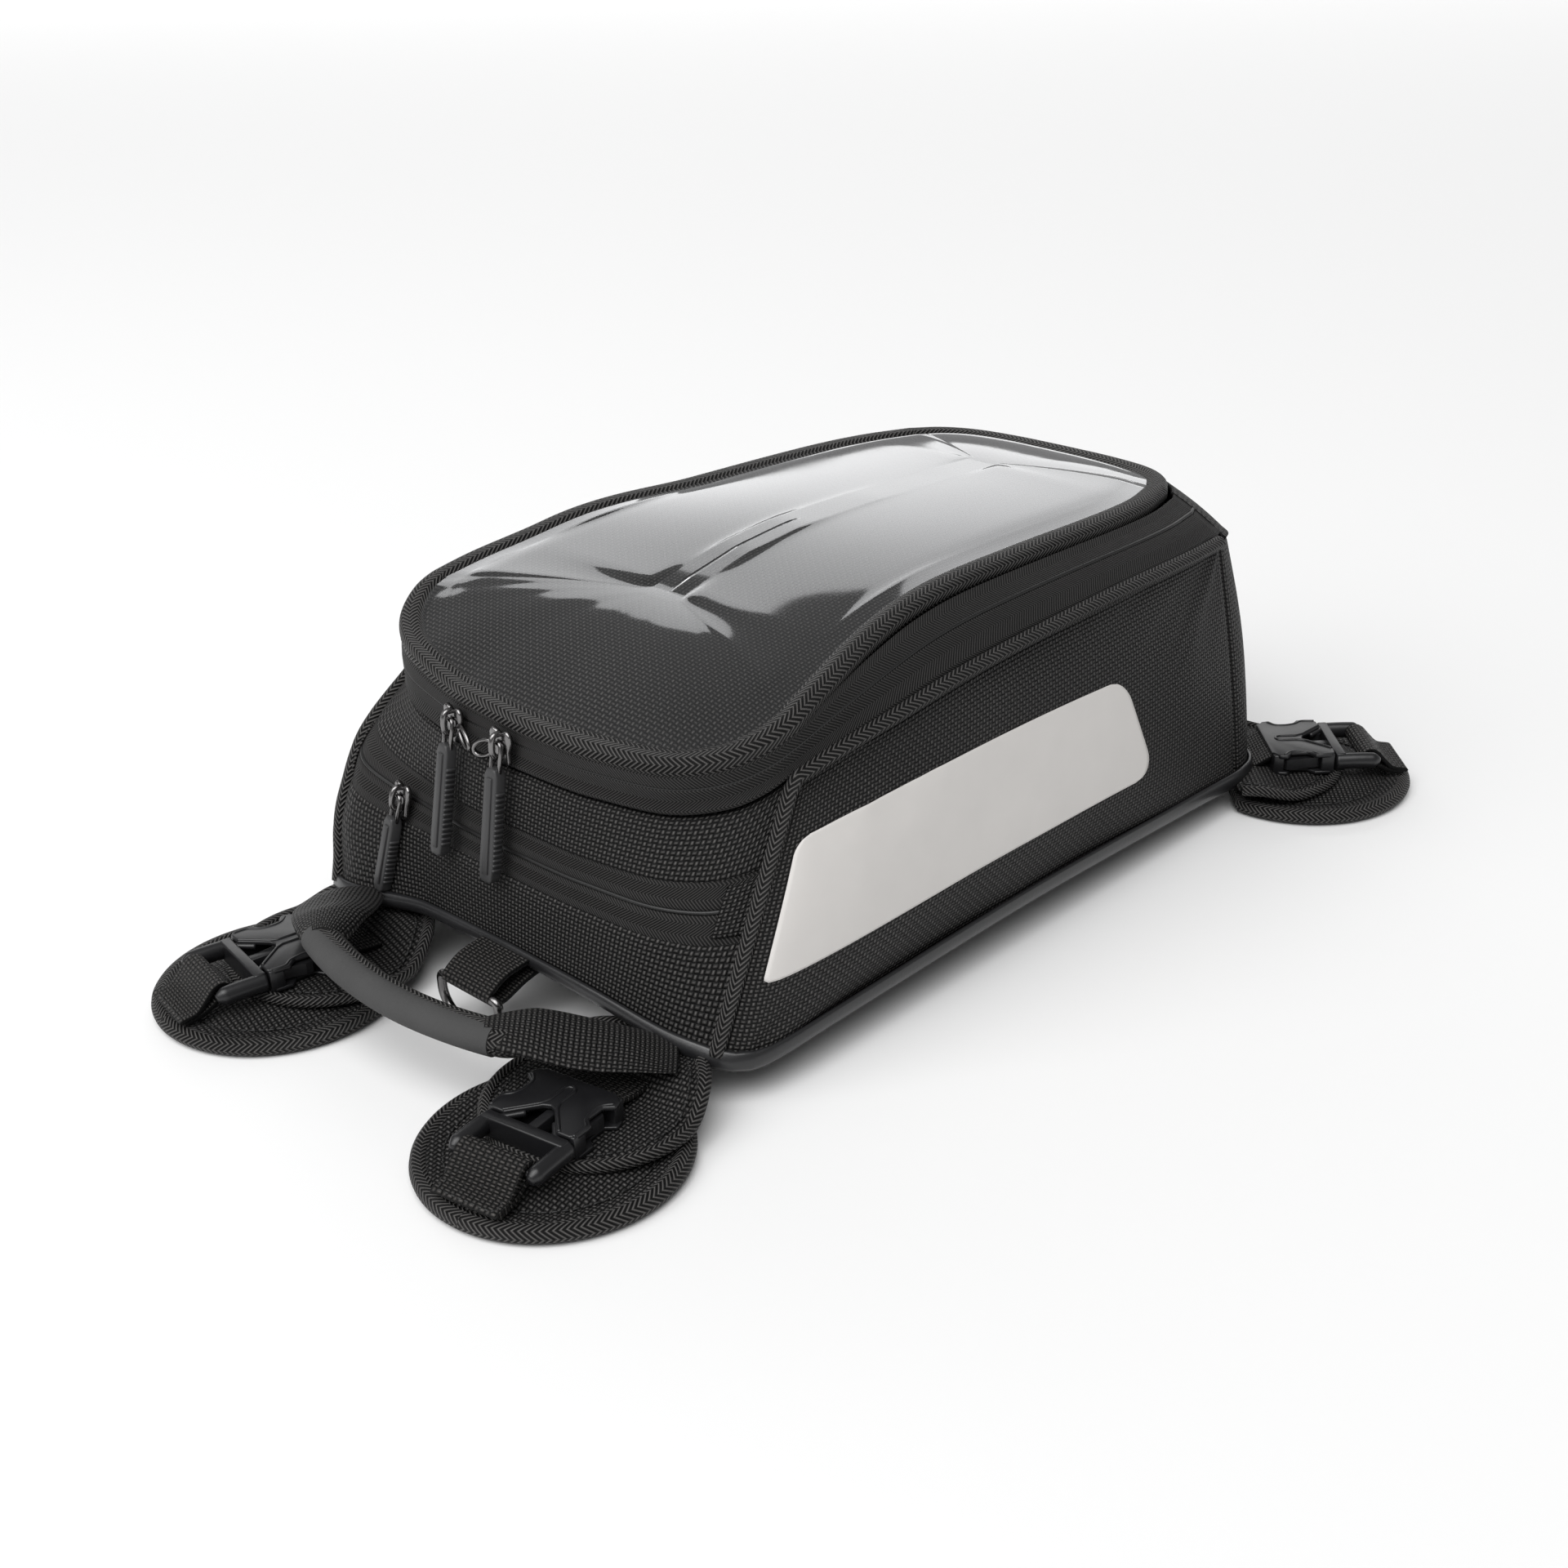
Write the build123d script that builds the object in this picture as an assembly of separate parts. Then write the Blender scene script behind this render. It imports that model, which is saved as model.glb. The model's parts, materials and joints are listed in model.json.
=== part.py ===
from build123d import *
import os
from math import asin, atan2, degrees, sqrt

# Motorcycle tank bag on four buckled magnet pads. Millimetres, +Z up.
# -Y is the zip end (towards the rider), +X the right side, Z = 0 is what the pads lie on.
# The origin is under the middle of the whole object.

# Bag body
BODY_LENGTH = 300.0
FRONT_Y = -137.0
REAR_Y = FRONT_Y + BODY_LENGTH
BASE_HALF = 95.0
BASE_Z = 10.0
SHOULDER_Z = 85.0
TOP_Z = 140.0
FRONT_LEAN = 11.0
LID_BOW_R = 260.0
BASE_BOW_R = 700.0
WALL = 3.0
TAPE = 1.5
LINING = 0.8
COIL_GAP = 1.0

# Underside: a low arch from side to side, for the curve of a tank
ARCH_CROWN_Z = 20.0
ARCH_R = 454.0
BASE_SHEET = 2.0

# Heights along the body, as (distance behind the front, z)
SEAM_LINE = [(-60, 85), (25, 85), (49, 97), (105, 107), (197, 108), (360, 100)]
COIL_LINE = [(-60, 94), (25, 94), (49, 107), (105, 117), (197, 116), (360, 108)]
RIM_LINE = [(-60, 103), (25, 103), (49, 117), (105, 129), (197, 125), (360, 117)]
RIM_DEPTH = 5.0
RIM_WIDTH = 8.0
ZIP_END = 283.0
HINGE_Z = 113.0

# Front pocket
POCKET_LOW_Z = 50.0
POCKET_HIGH_Z = 65.0
POCKET_DEPTH = 27.0

# Pads and flaps
PAD_R = 42.0
PAD_THICK = 6.0
PAD_UNDERLAP = 6.0
MAGNET_R = 24.0
MAGNET_THICK = 2.5
FLAP_R = 34.5
FLAP_Z = 6.5
FLAP_THICK = 3.0
FLAP_SETBACK = 20.0
FRONT_PAD = (71.0, FRONT_Y - 44.0, -80.0)
REAR_PAD = (101.0, FRONT_Y + 318.0, 45.0)
FRONT_FOLD = (69.0, FRONT_Y - 0.5, -90.0)
REAR_FOLD = (89.6, REAR_Y - 5.4, 45.0)

# Side-release buckle for 25 mm webbing, in the pad's frame: u outwards, v across
BUCKLE_Z = 10.0
BUCKLE_HEIGHT = 8.5
FEMALE_IN = -15.0
FEMALE_OUT = 9.0
FEMALE_HALF = 16.5
COLLAR = 5.0
SHELL = 1.4
MALE_OUT = 26.0
PRONG_ROOT_U = 9.0
PRONG_ROOT_V = 9.8
BAR_U = 23.5
BAR_R = 1.6
WEBBING = 25.0
WEBBING_THICK = 1.4

# Zip pulls and sliders. A lean is in degrees, outwards at the bottom.
SLIDER_GAP = 0.6
SLIDER_PLATE = 2.0
PULL_WIDTH = 7.5
PULL_THICK = 4.5
LID_PULL_LEAN = 8.0
LID_GRIP = 38.0
POCKET_SLIDER_LEAN = 11.0
POCKET_PULL_LEAN = 12.5
POCKET_GRIP = 28.0

# Handle and D-ring
HANDLE_R = 7.0
HANDLE_CORE_R = 5.0
HANDLE_END = (46.0, FRONT_Y - 41.0, 29.5)
HANDLE_MID_Y = FRONT_Y - 48.0
HANDLE_ROOT = (74.0, FRONT_Y - 8.5, 18.5)
RING_BAR = (FRONT_Y - 16.0, 18.0)
RING_WIRE_R = 1.6
RING_HALF = 14.6
RING_DROP = 14.0

SECTIONS = [
    # z, front y, rear y, half width at the front and rear, corner radii, bow radius of the front
    (BASE_Z, FRONT_Y, REAR_Y, BASE_HALF, BASE_HALF, 20.0, 20.0, BASE_BOW_R),
    (SHOULDER_Z, FRONT_Y + FRONT_LEAN, REAR_Y - 2, 88.0, 85.0, 28.0, 21.0, LID_BOW_R),
    (TOP_Z, FRONT_Y + FRONT_LEAN, REAR_Y - 6, 82.0, 66.0, 28.0, 21.0, LID_BOW_R),
]


def outline(section, offset):
    """One plan section of the body, moved outwards by offset."""
    z, front, rear, half_front, half_rear, r_front, r_rear, bow_r = section
    half_front, half_rear = half_front + offset, half_rear + offset
    front, rear, bow_r = front - offset, rear + offset, bow_r + offset
    bow = bow_r - sqrt(bow_r**2 - half_front**2)
    edges = [
        ThreePointArc((-half_front, front + bow), (0, front), (half_front, front + bow)),
        Line((half_front, front + bow), (half_rear, rear)),
        Line((half_rear, rear), (-half_rear, rear)),
        Line((-half_rear, rear), (-half_front, front + bow)),
    ]
    face = make_face(edges)
    face = fillet(face.vertices().sort_by(Axis.Y)[:2], r_front + offset)
    corners = [v for v in face.vertices() if abs(v.Y - rear) < 0.01]
    face = fillet(corners, r_rear + offset)
    return Pos(0, 0, z) * face


def skin(offset):
    """The whole outer form of the body, moved outwards by offset."""
    return loft([outline(section, offset) for section in SECTIONS], ruled=True)


def prism(points):
    """A solid across the whole width from (distance behind the front, z) points."""
    line = Polyline([(FRONT_Y + d, z) for d, z in points], close=True)
    return extrude(Plane.YZ * make_face(line), 150, both=True)


def between(lower, upper, low_shift=0.0, high_shift=0.0, start=-60.0, end=360.0):
    """The space between two height lines, from start to end behind the front."""
    low = [(d, z + low_shift) for d, z in lower]
    high = [(d, z + high_shift) for d, z in upper]
    space = prism(low + high[::-1])
    return space & prism([(start, 0), (end, 0), (end, 200), (start, 200)])


def level(z):
    return [(-60, z), (360, z)]


def arch(height):
    """Everything under the arched underside, raised by height."""
    roll = Cylinder(ARCH_R + height, 700, rotation=(90, 0, 0))
    return Pos(0, 0, ARCH_CROWN_Z - ARCH_R) * roll


def half(solid, side):
    """The part of a solid on the right (side = 1) or the left (side = -1)."""
    return solid & (Pos(side * 200, 0, 0) * Box(400, 900, 400))


def mirrored(solid):
    return mirror(solid, about=Plane.YZ)


def group(*solids):
    """Several separate solids in one node."""
    parts = []
    for item in solids:
        parts += list(item.solids())
    return Compound(children=parts)


OUTER = skin(0)
INNER = skin(-WALL)
FRONT_ZONE = prism([(-60, 0), (16, 0), (16, 12), (49, 97), (49, 200), (-60, 200)])
REAR_ZONE = prism([(284, 0), (360, 0), (360, 200), (284, 200)])


def body_walls():
    wall = (OUTER - INNER - arch(BASE_SHEET)) & between(level(0), SEAM_LINE)
    sides = wall - FRONT_ZONE - REAR_ZONE
    front = wall & FRONT_ZONE
    rear = (OUTER - INNER - arch(BASE_SHEET)) & REAR_ZONE & between(level(0), level(HINGE_Z - 1))
    return {
        "side_panel_left": half(sides, -1),
        "side_panel_right": half(sides, 1),
        "front_pocket_panel": front & between(level(0), level(POCKET_LOW_Z)),
        "front_upper_panel": front & between(level(POCKET_HIGH_Z), level(200)),
        "rear_panel": rear,
    }


def base():
    divider_back = prism([(POCKET_DEPTH, 0), (360, 0), (360, 200), (POCKET_DEPTH, 200)])
    panel = (OUTER & arch(BASE_SHEET)) - arch(0)
    board = (INNER & arch(2 * BASE_SHEET) & divider_back) - arch(BASE_SHEET)
    return {"base_panel": panel, "base_board": board}


def inside():
    """The lining of the main compartment and the wall between it and the front pocket."""
    divider = INNER & prism([(POCKET_DEPTH - 1.5, 0), (POCKET_DEPTH, 0), (POCKET_DEPTH, 82), (POCKET_DEPTH - 1.5, 82)])
    divider -= arch(BASE_SHEET)
    cavity = skin(-WALL - LINING)
    main_zone = prism([(POCKET_DEPTH, 0), (360, 0), (360, 200), (POCKET_DEPTH, 200)])
    lining = (INNER - cavity - arch(2 * BASE_SHEET)) & main_zone & between(level(0), SEAM_LINE, 0, -0.5)
    return {"pocket_divider": divider, "lining": lining}


def zip_band(lower, upper, low_shift, high_shift, coil_low, coil_high, zone):
    """One zip half: a tape on the outside and the coil on its inner edge."""
    tape = (OUTER - skin(-TAPE)) & between(lower, upper, low_shift, high_shift) & zone
    coil = (skin(-TAPE) - INNER) & between(COIL_LINE, COIL_LINE, coil_low, coil_high) & zone
    return group(tape, coil)


def zips():
    zone = prism([(-60, 0), (ZIP_END, 0), (ZIP_END, 200), (-60, 200)])
    gap = COIL_GAP / 2
    lower = zip_band(SEAM_LINE, COIL_LINE, 0, -gap, -3.5, -gap, zone)
    upper = zip_band(COIL_LINE, RIM_LINE, gap, -RIM_DEPTH, gap, 3.5, zone)
    middle = (POCKET_LOW_Z + POCKET_HIGH_Z) / 2
    tapes = []
    for low, high in ((POCKET_LOW_Z, middle - gap), (middle + gap, POCKET_HIGH_Z)):
        tapes.append((OUTER - skin(-TAPE)) & FRONT_ZONE & between(level(low), level(high)))
    for low, high in ((middle - 3.5, middle - gap), (middle + gap, middle + 3.5)):
        tapes.append((skin(-TAPE) - INNER) & FRONT_ZONE & between(level(low), level(high)))
    return {
        "lid_zip_lower_half": lower,
        "lid_zip_upper_half": upper,
        "pocket_zip": group(*tapes),
    }


def lid():
    """The lid board, its clear map window and the bound rim around them."""
    field = skin(-RIM_WIDTH)
    rim = (skin(1) - field) & between(RIM_LINE, RIM_LINE, -RIM_DEPTH, 0)
    board = field & between(RIM_LINE, RIM_LINE, -RIM_DEPTH, -2.0)
    window = field & between(RIM_LINE, RIM_LINE, -1.2, -0.2)
    return {"lid_rim_binding": rim, "lid_panel": board, "map_window": window}


def side_trim():
    """Piping along the top and front edge of each side panel, and the reflective panels."""
    seam = between(SEAM_LINE, SEAM_LINE, -2.5, 1.5, 49, 284)
    front_seam = prism([(14.5, 24), (18.5, 24), (51, 96), (47, 96)])
    ridge = skin(2) - OUTER
    path = (ridge & seam) + (ridge & front_seam)
    patch = prism([(22, 26), (148, 38), (162, 78), (154, 84), (48, 80)])
    film = (skin(0.6) - OUTER) & patch
    return {
        "side_piping": group(half(path, 1), half(path, -1)),
        "reflective_panels": group(half(film, 1), half(film, -1)),
    }


def slider(surface_y, z, lean):
    """Zip slider across a zip at x = 0: plate outside, plate inside, a web between, and a bail."""
    plate_y = surface_y - SLIDER_GAP - SLIDER_PLATE / 2
    plate = Pos(0, plate_y, z - 1.5) * Box(9, SLIDER_PLATE, 10)
    plate = fillet(plate.edges().filter_by(Axis.Y), 2.5)
    inner = Pos(0, surface_y + WALL + SLIDER_GAP + 0.9, z - 3) * Box(6, 1.0, 7)
    bail_y = plate_y - SLIDER_PLATE / 2
    bail = Pos(0, bail_y - 1.4, z - 0.2) * Box(2.2, 2.8, 7.0)
    bail -= Pos(0, bail_y - 1.0, z) * Box(3, 1.9, 3.4)
    tilt = Pos(0, surface_y, z) * Rot(-lean, 0, 0) * Pos(0, -surface_y, -z)
    web_depth = WALL + 2 * SLIDER_GAP + SLIDER_PLATE / 2 + 0.9
    web = Pos(0, plate_y + web_depth / 2, z) * Box(2, web_depth, COIL_GAP - 0.4)
    return tilt * (plate + inner + bail) + web


def pull(surface_y, z, lean, grip_length):
    """Zip pull hanging from its pivot: a wire link and a ribbed moulded grip."""
    pivot_y = surface_y - SLIDER_GAP - SLIDER_PLATE - 1.0
    bar = Box(4.6, 1.2, 1.2)
    legs = [Pos(side * 2.2, 0, -4.5) * Box(1.2, 1.2, 10) for side in (-1, 1)]
    link = bar + legs[0] + legs[1]
    grip = Pos(0, 0, -8 - grip_length / 2) * Box(PULL_WIDTH, PULL_THICK, grip_length)
    grip = fillet(grip.edges().filter_by(Axis.Y), 1.8)
    for step in range(5):
        rib_z = -8 - grip_length * (0.3 + 0.13 * step)
        grip -= Pos(0, -PULL_THICK / 2, rib_z) * Box(PULL_WIDTH + 1, 0.8, 1.2)
    link -= grip
    place = Pos(0, pivot_y, z) * Rot(-lean, 0, 0)
    return place * group(link, grip)


def around(solid, centre_y, angle):
    """Turn a solid about the vertical axis that a zip's arc is drawn from."""
    return Pos(0, centre_y, 0) * Rot(0, 0, angle) * Pos(0, -centre_y, 0) * solid


LID_ARC_Y = FRONT_Y + FRONT_LEAN + LID_BOW_R
POCKET_Z = (POCKET_LOW_Z + POCKET_HIGH_Z) / 2
POCKET_SURFACE_Y = FRONT_Y + FRONT_LEAN * (POCKET_Z - BASE_Z) / (SHOULDER_Z - BASE_Z)
POCKET_ARC_R = 356.0
POCKET_ARC_Y = POCKET_SURFACE_Y + POCKET_ARC_R
COIL_FRONT_Z = COIL_LINE[0][1]
LID_SLIDER_X = {"left": -30.0, "right": -4.0}
POCKET_SLIDER_X = -58.0


def sliders():
    nodes = {}
    for name, x in LID_SLIDER_X.items():
        angle = degrees(asin(x / LID_BOW_R))
        surface = FRONT_Y + FRONT_LEAN
        body = slider(surface, COIL_FRONT_Z, 0)
        hanger = pull(surface, COIL_FRONT_Z, LID_PULL_LEAN, LID_GRIP)
        nodes[f"lid_slider_{name}"] = around(body, LID_ARC_Y, angle)
        nodes[f"lid_pull_{name}"] = around(hanger, LID_ARC_Y, angle)
    angle = degrees(asin(POCKET_SLIDER_X / POCKET_ARC_R))
    body = slider(POCKET_SURFACE_Y, POCKET_Z, POCKET_SLIDER_LEAN)
    hanger = pull(POCKET_SURFACE_Y, POCKET_Z, POCKET_PULL_LEAN, POCKET_GRIP)
    nodes["pocket_slider"] = around(body, POCKET_ARC_Y, angle)
    nodes["pocket_pull"] = around(hanger, POCKET_ARC_Y, angle)
    return nodes


def handle():
    """The carrying handle: a soft core in a woven cover, and a folded fabric end each side."""
    x, y, z = HANDLE_END
    line = ThreePointArc((-x, y, z), (0, HANDLE_MID_Y, z), (x, y, z))
    section = Plane(origin=line @ 0, z_dir=line % 0)
    core = sweep(section * Circle(HANDLE_CORE_R), path=line)
    tube = sweep(section * Circle(HANDLE_R), path=line)
    start = Vector(*HANDLE_END) - Vector(3, -3, 0)
    finish = Vector(*HANDLE_ROOT)
    run = finish - start
    across = Vector(run.Y, -run.X, 0).normalized()
    near = Plane(origin=start, x_dir=across, z_dir=run) * Rectangle(17, 15)
    far = Plane(origin=finish, x_dir=across, z_dir=run) * Rectangle(32, 3.2)
    fold = loft([near, far], ruled=True) - tube
    return {
        "handle_core": core,
        "handle_cover": tube - core,
        "handle_ends": group(fold, mirrored(fold)),
    }


def d_ring():
    """A metal D-ring hanging in a loop of webbing at the middle of the front."""
    bar_y, bar_z = RING_BAR
    flat = Polyline((-RING_HALF, 0), (RING_HALF, 0), (RING_HALF, -RING_DROP), (-RING_HALF, -RING_DROP), close=True)
    face = make_face(flat)
    low = [v for v in face.vertices() if v.Y < -1]
    face = fillet(low, 9.0)
    top = [v for v in face.vertices() if v.Y > -0.1]
    face = fillet(top, 2.2)
    frame = Plane(origin=(0, bar_y, bar_z), x_dir=(1, 0, 0), z_dir=(0, -1, 0))
    wire = (frame * face).wires()[0]
    section = Plane(origin=wire @ 0, z_dir=wire % 0) * Circle(RING_WIRE_R)
    ring = sweep(section, path=wire, transition=Transition.ROUND)
    reach = FRONT_Y - bar_y + 2
    slope = degrees(atan2(6.0, reach))
    strap = Box(WEBBING - 1, reach, 2 * (RING_WIRE_R + 0.3 + WEBBING_THICK))
    strap = Pos(0, bar_y, bar_z) * Rot(slope, 0, 0) * Pos(0, reach / 2, 0) * strap
    loop = Cylinder(RING_WIRE_R + 0.3 + WEBBING_THICK, WEBBING - 1, rotation=(0, 90, 0))
    strap += Pos(0, bar_y, bar_z) * loop
    bore = Cylinder(RING_WIRE_R + 0.3, WEBBING, rotation=(0, 90, 0))
    strap -= Pos(0, bar_y, bar_z) * bore
    return {"d_ring": ring, "ring_webbing": strap - OUTER}


def placed(solid, frame):
    """Move a solid from its own u, v frame to a corner of the bag."""
    x, y, angle = frame
    return Location((x, y, 0), (0, 0, angle)) * solid


def behind_fold(fold, inset):
    """Everything further in than a flap's fold line, less the given inset."""
    return placed(Pos(-200 - inset, 0, 0) * Box(400, 400, 100), fold)


def pad(frame, fold):
    """A magnet pad: a stitched fabric shell around a flat disc magnet."""
    shell = Pos(0, 0, PAD_THICK / 2) * Cylinder(PAD_R, PAD_THICK)
    shell += Pos(-PAD_R / 2 - 8, 0, PAD_THICK / 2) * Box(PAD_R + 16, 56, PAD_THICK)
    magnet = Pos(0, 0, PAD_THICK / 2) * Cylinder(MAGNET_R, MAGNET_THICK)
    shell = placed(shell - magnet, frame) - behind_fold(fold, PAD_UNDERLAP)
    return shell, placed(magnet, frame)


def flap(frame, fold, neck):
    """The flap that carries the buckle, from its fold line to its round end."""
    middle = FLAP_Z + FLAP_THICK / 2
    tongue = placed(Pos(-FLAP_SETBACK, 0, middle) * Cylinder(FLAP_R, FLAP_THICK), frame)
    tongue += placed(Pos(9, 0, middle) * Box(20, neck, FLAP_THICK), fold)
    return tongue - behind_fold(fold, 0)


def female_buckle():
    """Female half: a collar, two plates with the release windows between them, a strap bar."""
    middle = BUCKLE_Z + BUCKLE_HEIGHT / 2
    length = FEMALE_OUT - FEMALE_IN
    body = Pos(FEMALE_IN + length / 2, 0, middle) * Box(length, 2 * FEMALE_HALF, BUCKLE_HEIGHT)
    body = fillet(body.edges().filter_by(Axis.Z), 2.5)
    room = BUCKLE_HEIGHT - 2 * SHELL
    mouth = Pos(FEMALE_OUT - COLLAR, 0, middle) * Box(4 * COLLAR, 27, room)
    windows = Pos(-3.25, 0, middle) * Box(14.5, 2 * FEMALE_HALF + 2, room)
    slot = Pos(-12.6, 0, middle) * Box(2.2, WEBBING + 0.6, BUCKLE_HEIGHT + 2)
    return body - mouth - windows - slot


def male_buckle():
    """Male half: the base, its centre guide, two side rails and the bar that holds the webbing."""
    middle = BUCKLE_Z + BUCKLE_HEIGHT / 2
    start = FEMALE_OUT + 0.4
    base_block = Pos(start + 2.8, 0, middle) * Box(5.6, 31, BUCKLE_HEIGHT - 0.6)
    for side in (-1, 1):
        root = Cylinder(2.2, 4.8) + Pos(-3, 0, 0) * Box(6, 5.4, 4.8)
        base_block -= Pos(PRONG_ROOT_U, side * PRONG_ROOT_V, middle) * root
    guide = Pos(start - 8, 0, middle) * Box(16.5, 4, 4.5)
    rail_length = MALE_OUT - start - 5
    rails = []
    for side in (-1, 1):
        rail = Pos(MALE_OUT - rail_length / 2, side * 14.2, middle) * Box(rail_length, 2.6, 6.5)
        rails.append(rail)
    bar = Pos(BAR_U, 0, middle) * Cylinder(BAR_R, 27.2, rotation=(90, 0, 0))
    return base_block + guide + rails[0] + rails[1] + bar


def prong(side):
    """One spring arm: round root, straight run through the collar, bulge in the side window."""
    outer = [(8.0, 11.4), (4.0, 12.9), (-2.0, 13.8), (-6.0, 14.8), (-8.5, 14.6), (-9.6, 13.0)]
    inner = [(-9.6, 11.0), (-4.0, 10.0), (4.0, 8.8), (8.0, 8.2)]
    points = [(u, side * v) for u, v in outer + inner]
    face = make_face(Polyline(points, close=True))
    face += Pos(PRONG_ROOT_U, side * PRONG_ROOT_V) * Circle(1.7)
    height = 4.2
    return Pos(0, 0, BUCKLE_Z + (BUCKLE_HEIGHT - height) / 2) * extrude(face, height, dir=(0, 0, 1))


def pad_strap():
    """Webbing round the male half's bar, down to the pad, where it is stitched flat."""
    bar_z = BUCKLE_Z + BUCKLE_HEIGHT / 2
    outer_r = BAR_R + 0.05 + WEBBING_THICK
    loop = Pos(BAR_U, 0, bar_z) * Cylinder(outer_r, WEBBING, rotation=(90, 0, 0))
    drop = bar_z - PAD_THICK
    tail = Pos(BAR_U + outer_r - WEBBING_THICK, 0, PAD_THICK + drop / 2) * Box(2 * WEBBING_THICK, WEBBING, drop)
    foot = Pos(BAR_U + 3.5, 0, PAD_THICK + WEBBING_THICK / 2) * Box(10, WEBBING, WEBBING_THICK)
    return loop + tail + foot - Pos(BAR_U, 0, bar_z) * Cylinder(BAR_R, WEBBING + 2, rotation=(90, 0, 0))


def corner(frame, fold, neck):
    """Every node of one right-hand corner, before its place name is added."""
    shell, magnet = pad(frame, fold)
    return {
        "pad": shell,
        "pad_magnet": magnet,
        "pad_strap": placed(pad_strap(), frame),
        "flap": flap(frame, fold, neck),
        "buckle_female": placed(female_buckle(), frame),
        "buckle_male": placed(male_buckle(), frame),
        "buckle_prong_in": placed(prong(1), frame),
        "buckle_prong_out": placed(prong(-1), frame),
    }


def corners():
    nodes = {}
    for end, frame, fold, neck in (("front", FRONT_PAD, FRONT_FOLD, 42), ("rear", REAR_PAD, REAR_FOLD, 30)):
        for name, solid in corner(frame, fold, neck).items():
            nodes[f"{name}_{end}_right"] = solid
            nodes[f"{name}_{end}_left"] = mirrored(solid)
    return nodes


def main():
    os.makedirs("parts", exist_ok=True)
    nodes = {}
    for make in (body_walls, base, inside, zips, lid, side_trim, sliders, handle, d_ring, corners):
        nodes.update(make())
    for name, solid in nodes.items():
        export_step(solid, f"parts/{name}.step")
        print(name, round(solid.volume), "mm3")
    print(len(nodes), "nodes")


main()
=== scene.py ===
"""Motorcycle tank bag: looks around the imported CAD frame. Lengths in the tables are millimetres."""
import json
from math import cos, exp, pi, radians, sin, sqrt

import bmesh
import bpy
from mathutils import Matrix, Vector, noise


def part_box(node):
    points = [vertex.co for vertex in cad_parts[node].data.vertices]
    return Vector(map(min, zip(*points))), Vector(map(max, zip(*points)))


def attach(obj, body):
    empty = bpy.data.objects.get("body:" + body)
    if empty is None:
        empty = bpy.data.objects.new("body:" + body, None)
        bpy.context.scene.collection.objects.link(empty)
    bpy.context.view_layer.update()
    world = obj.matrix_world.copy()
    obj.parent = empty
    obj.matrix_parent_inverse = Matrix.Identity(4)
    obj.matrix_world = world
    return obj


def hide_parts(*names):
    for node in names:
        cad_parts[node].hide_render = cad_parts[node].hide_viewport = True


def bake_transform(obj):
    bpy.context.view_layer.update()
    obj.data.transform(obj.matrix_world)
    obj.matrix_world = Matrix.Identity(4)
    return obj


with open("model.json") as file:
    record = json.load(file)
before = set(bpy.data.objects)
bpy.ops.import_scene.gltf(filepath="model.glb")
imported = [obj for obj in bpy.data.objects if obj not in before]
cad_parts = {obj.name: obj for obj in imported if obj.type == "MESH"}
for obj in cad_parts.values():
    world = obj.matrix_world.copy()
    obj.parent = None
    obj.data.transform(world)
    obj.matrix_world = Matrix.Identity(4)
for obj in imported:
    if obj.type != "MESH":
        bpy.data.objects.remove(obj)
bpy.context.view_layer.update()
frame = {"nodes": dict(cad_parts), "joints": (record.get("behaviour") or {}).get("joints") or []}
MM = 0.001
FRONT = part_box("front_pocket_panel")[0][1] / MM      # y of the zip end, mm


# ---------------------------------------------------------------- materials

class Shading:
    """A new material's nodes, with one short call for each kind that is used here."""

    def __init__(self, name):
        self.material = bpy.data.materials.new(name)
        self.material.use_nodes = True
        self.nodes, self.links = self.material.node_tree.nodes, self.material.node_tree.links
        self.shader = self.nodes["Principled BSDF"].inputs

    def maths(self, operation, *values):
        """A Math node; each value is a number or another node's output."""
        node = self.nodes.new("ShaderNodeMath")
        node.operation = operation
        for slot, value in enumerate(values):
            if isinstance(value, (int, float)):
                node.inputs[slot].default_value = value
            else:
                self.links.new(value, node.inputs[slot])
        return node.outputs[0]

    def noise(self, scale, detail):
        """Smooth noise that stays on the piece."""
        place = self.nodes.new("ShaderNodeTexCoord")
        node = self.nodes.new("ShaderNodeTexNoise")
        node.inputs["Scale"].default_value = scale
        node.inputs["Detail"].default_value = detail
        self.links.new(place.outputs["Object"], node.inputs["Vector"])
        return node.outputs["Fac"]

    def colour(self, dark, light, share):
        """Base colour between dark and light."""
        node = self.nodes.new("ShaderNodeMix")
        node.data_type = "RGBA"
        node.inputs["A"].default_value = (*dark, 1)
        node.inputs["B"].default_value = (*light, 1)
        self.links.new(share, node.inputs["Factor"])
        self.links.new(node.outputs["Result"], self.shader["Base Color"])

    def bump(self, height, depth):
        """Relief of a depth in mm."""
        node = self.nodes.new("ShaderNodeBump")
        node.inputs["Distance"].default_value = depth * MM
        self.links.new(height, node.inputs["Height"])
        self.links.new(node.outputs["Normal"], self.shader["Normal"])

    def cloth_axes(self):
        """The two directions of the cloth, in millimetres, from the piece's own layout."""
        layout = self.nodes.new("ShaderNodeUVMap")
        layout.uv_map = "cloth"
        split = self.nodes.new("ShaderNodeSeparateXYZ")
        self.links.new(layout.outputs[0], split.inputs[0])
        return split.outputs[0], split.outputs[1]


WEFT_SHARE = 0.72         # how high the weft's floats stand beside the warp's
HERRINGBONE_SLANT = 1.3   # rise of a herringbone's yarns


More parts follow.
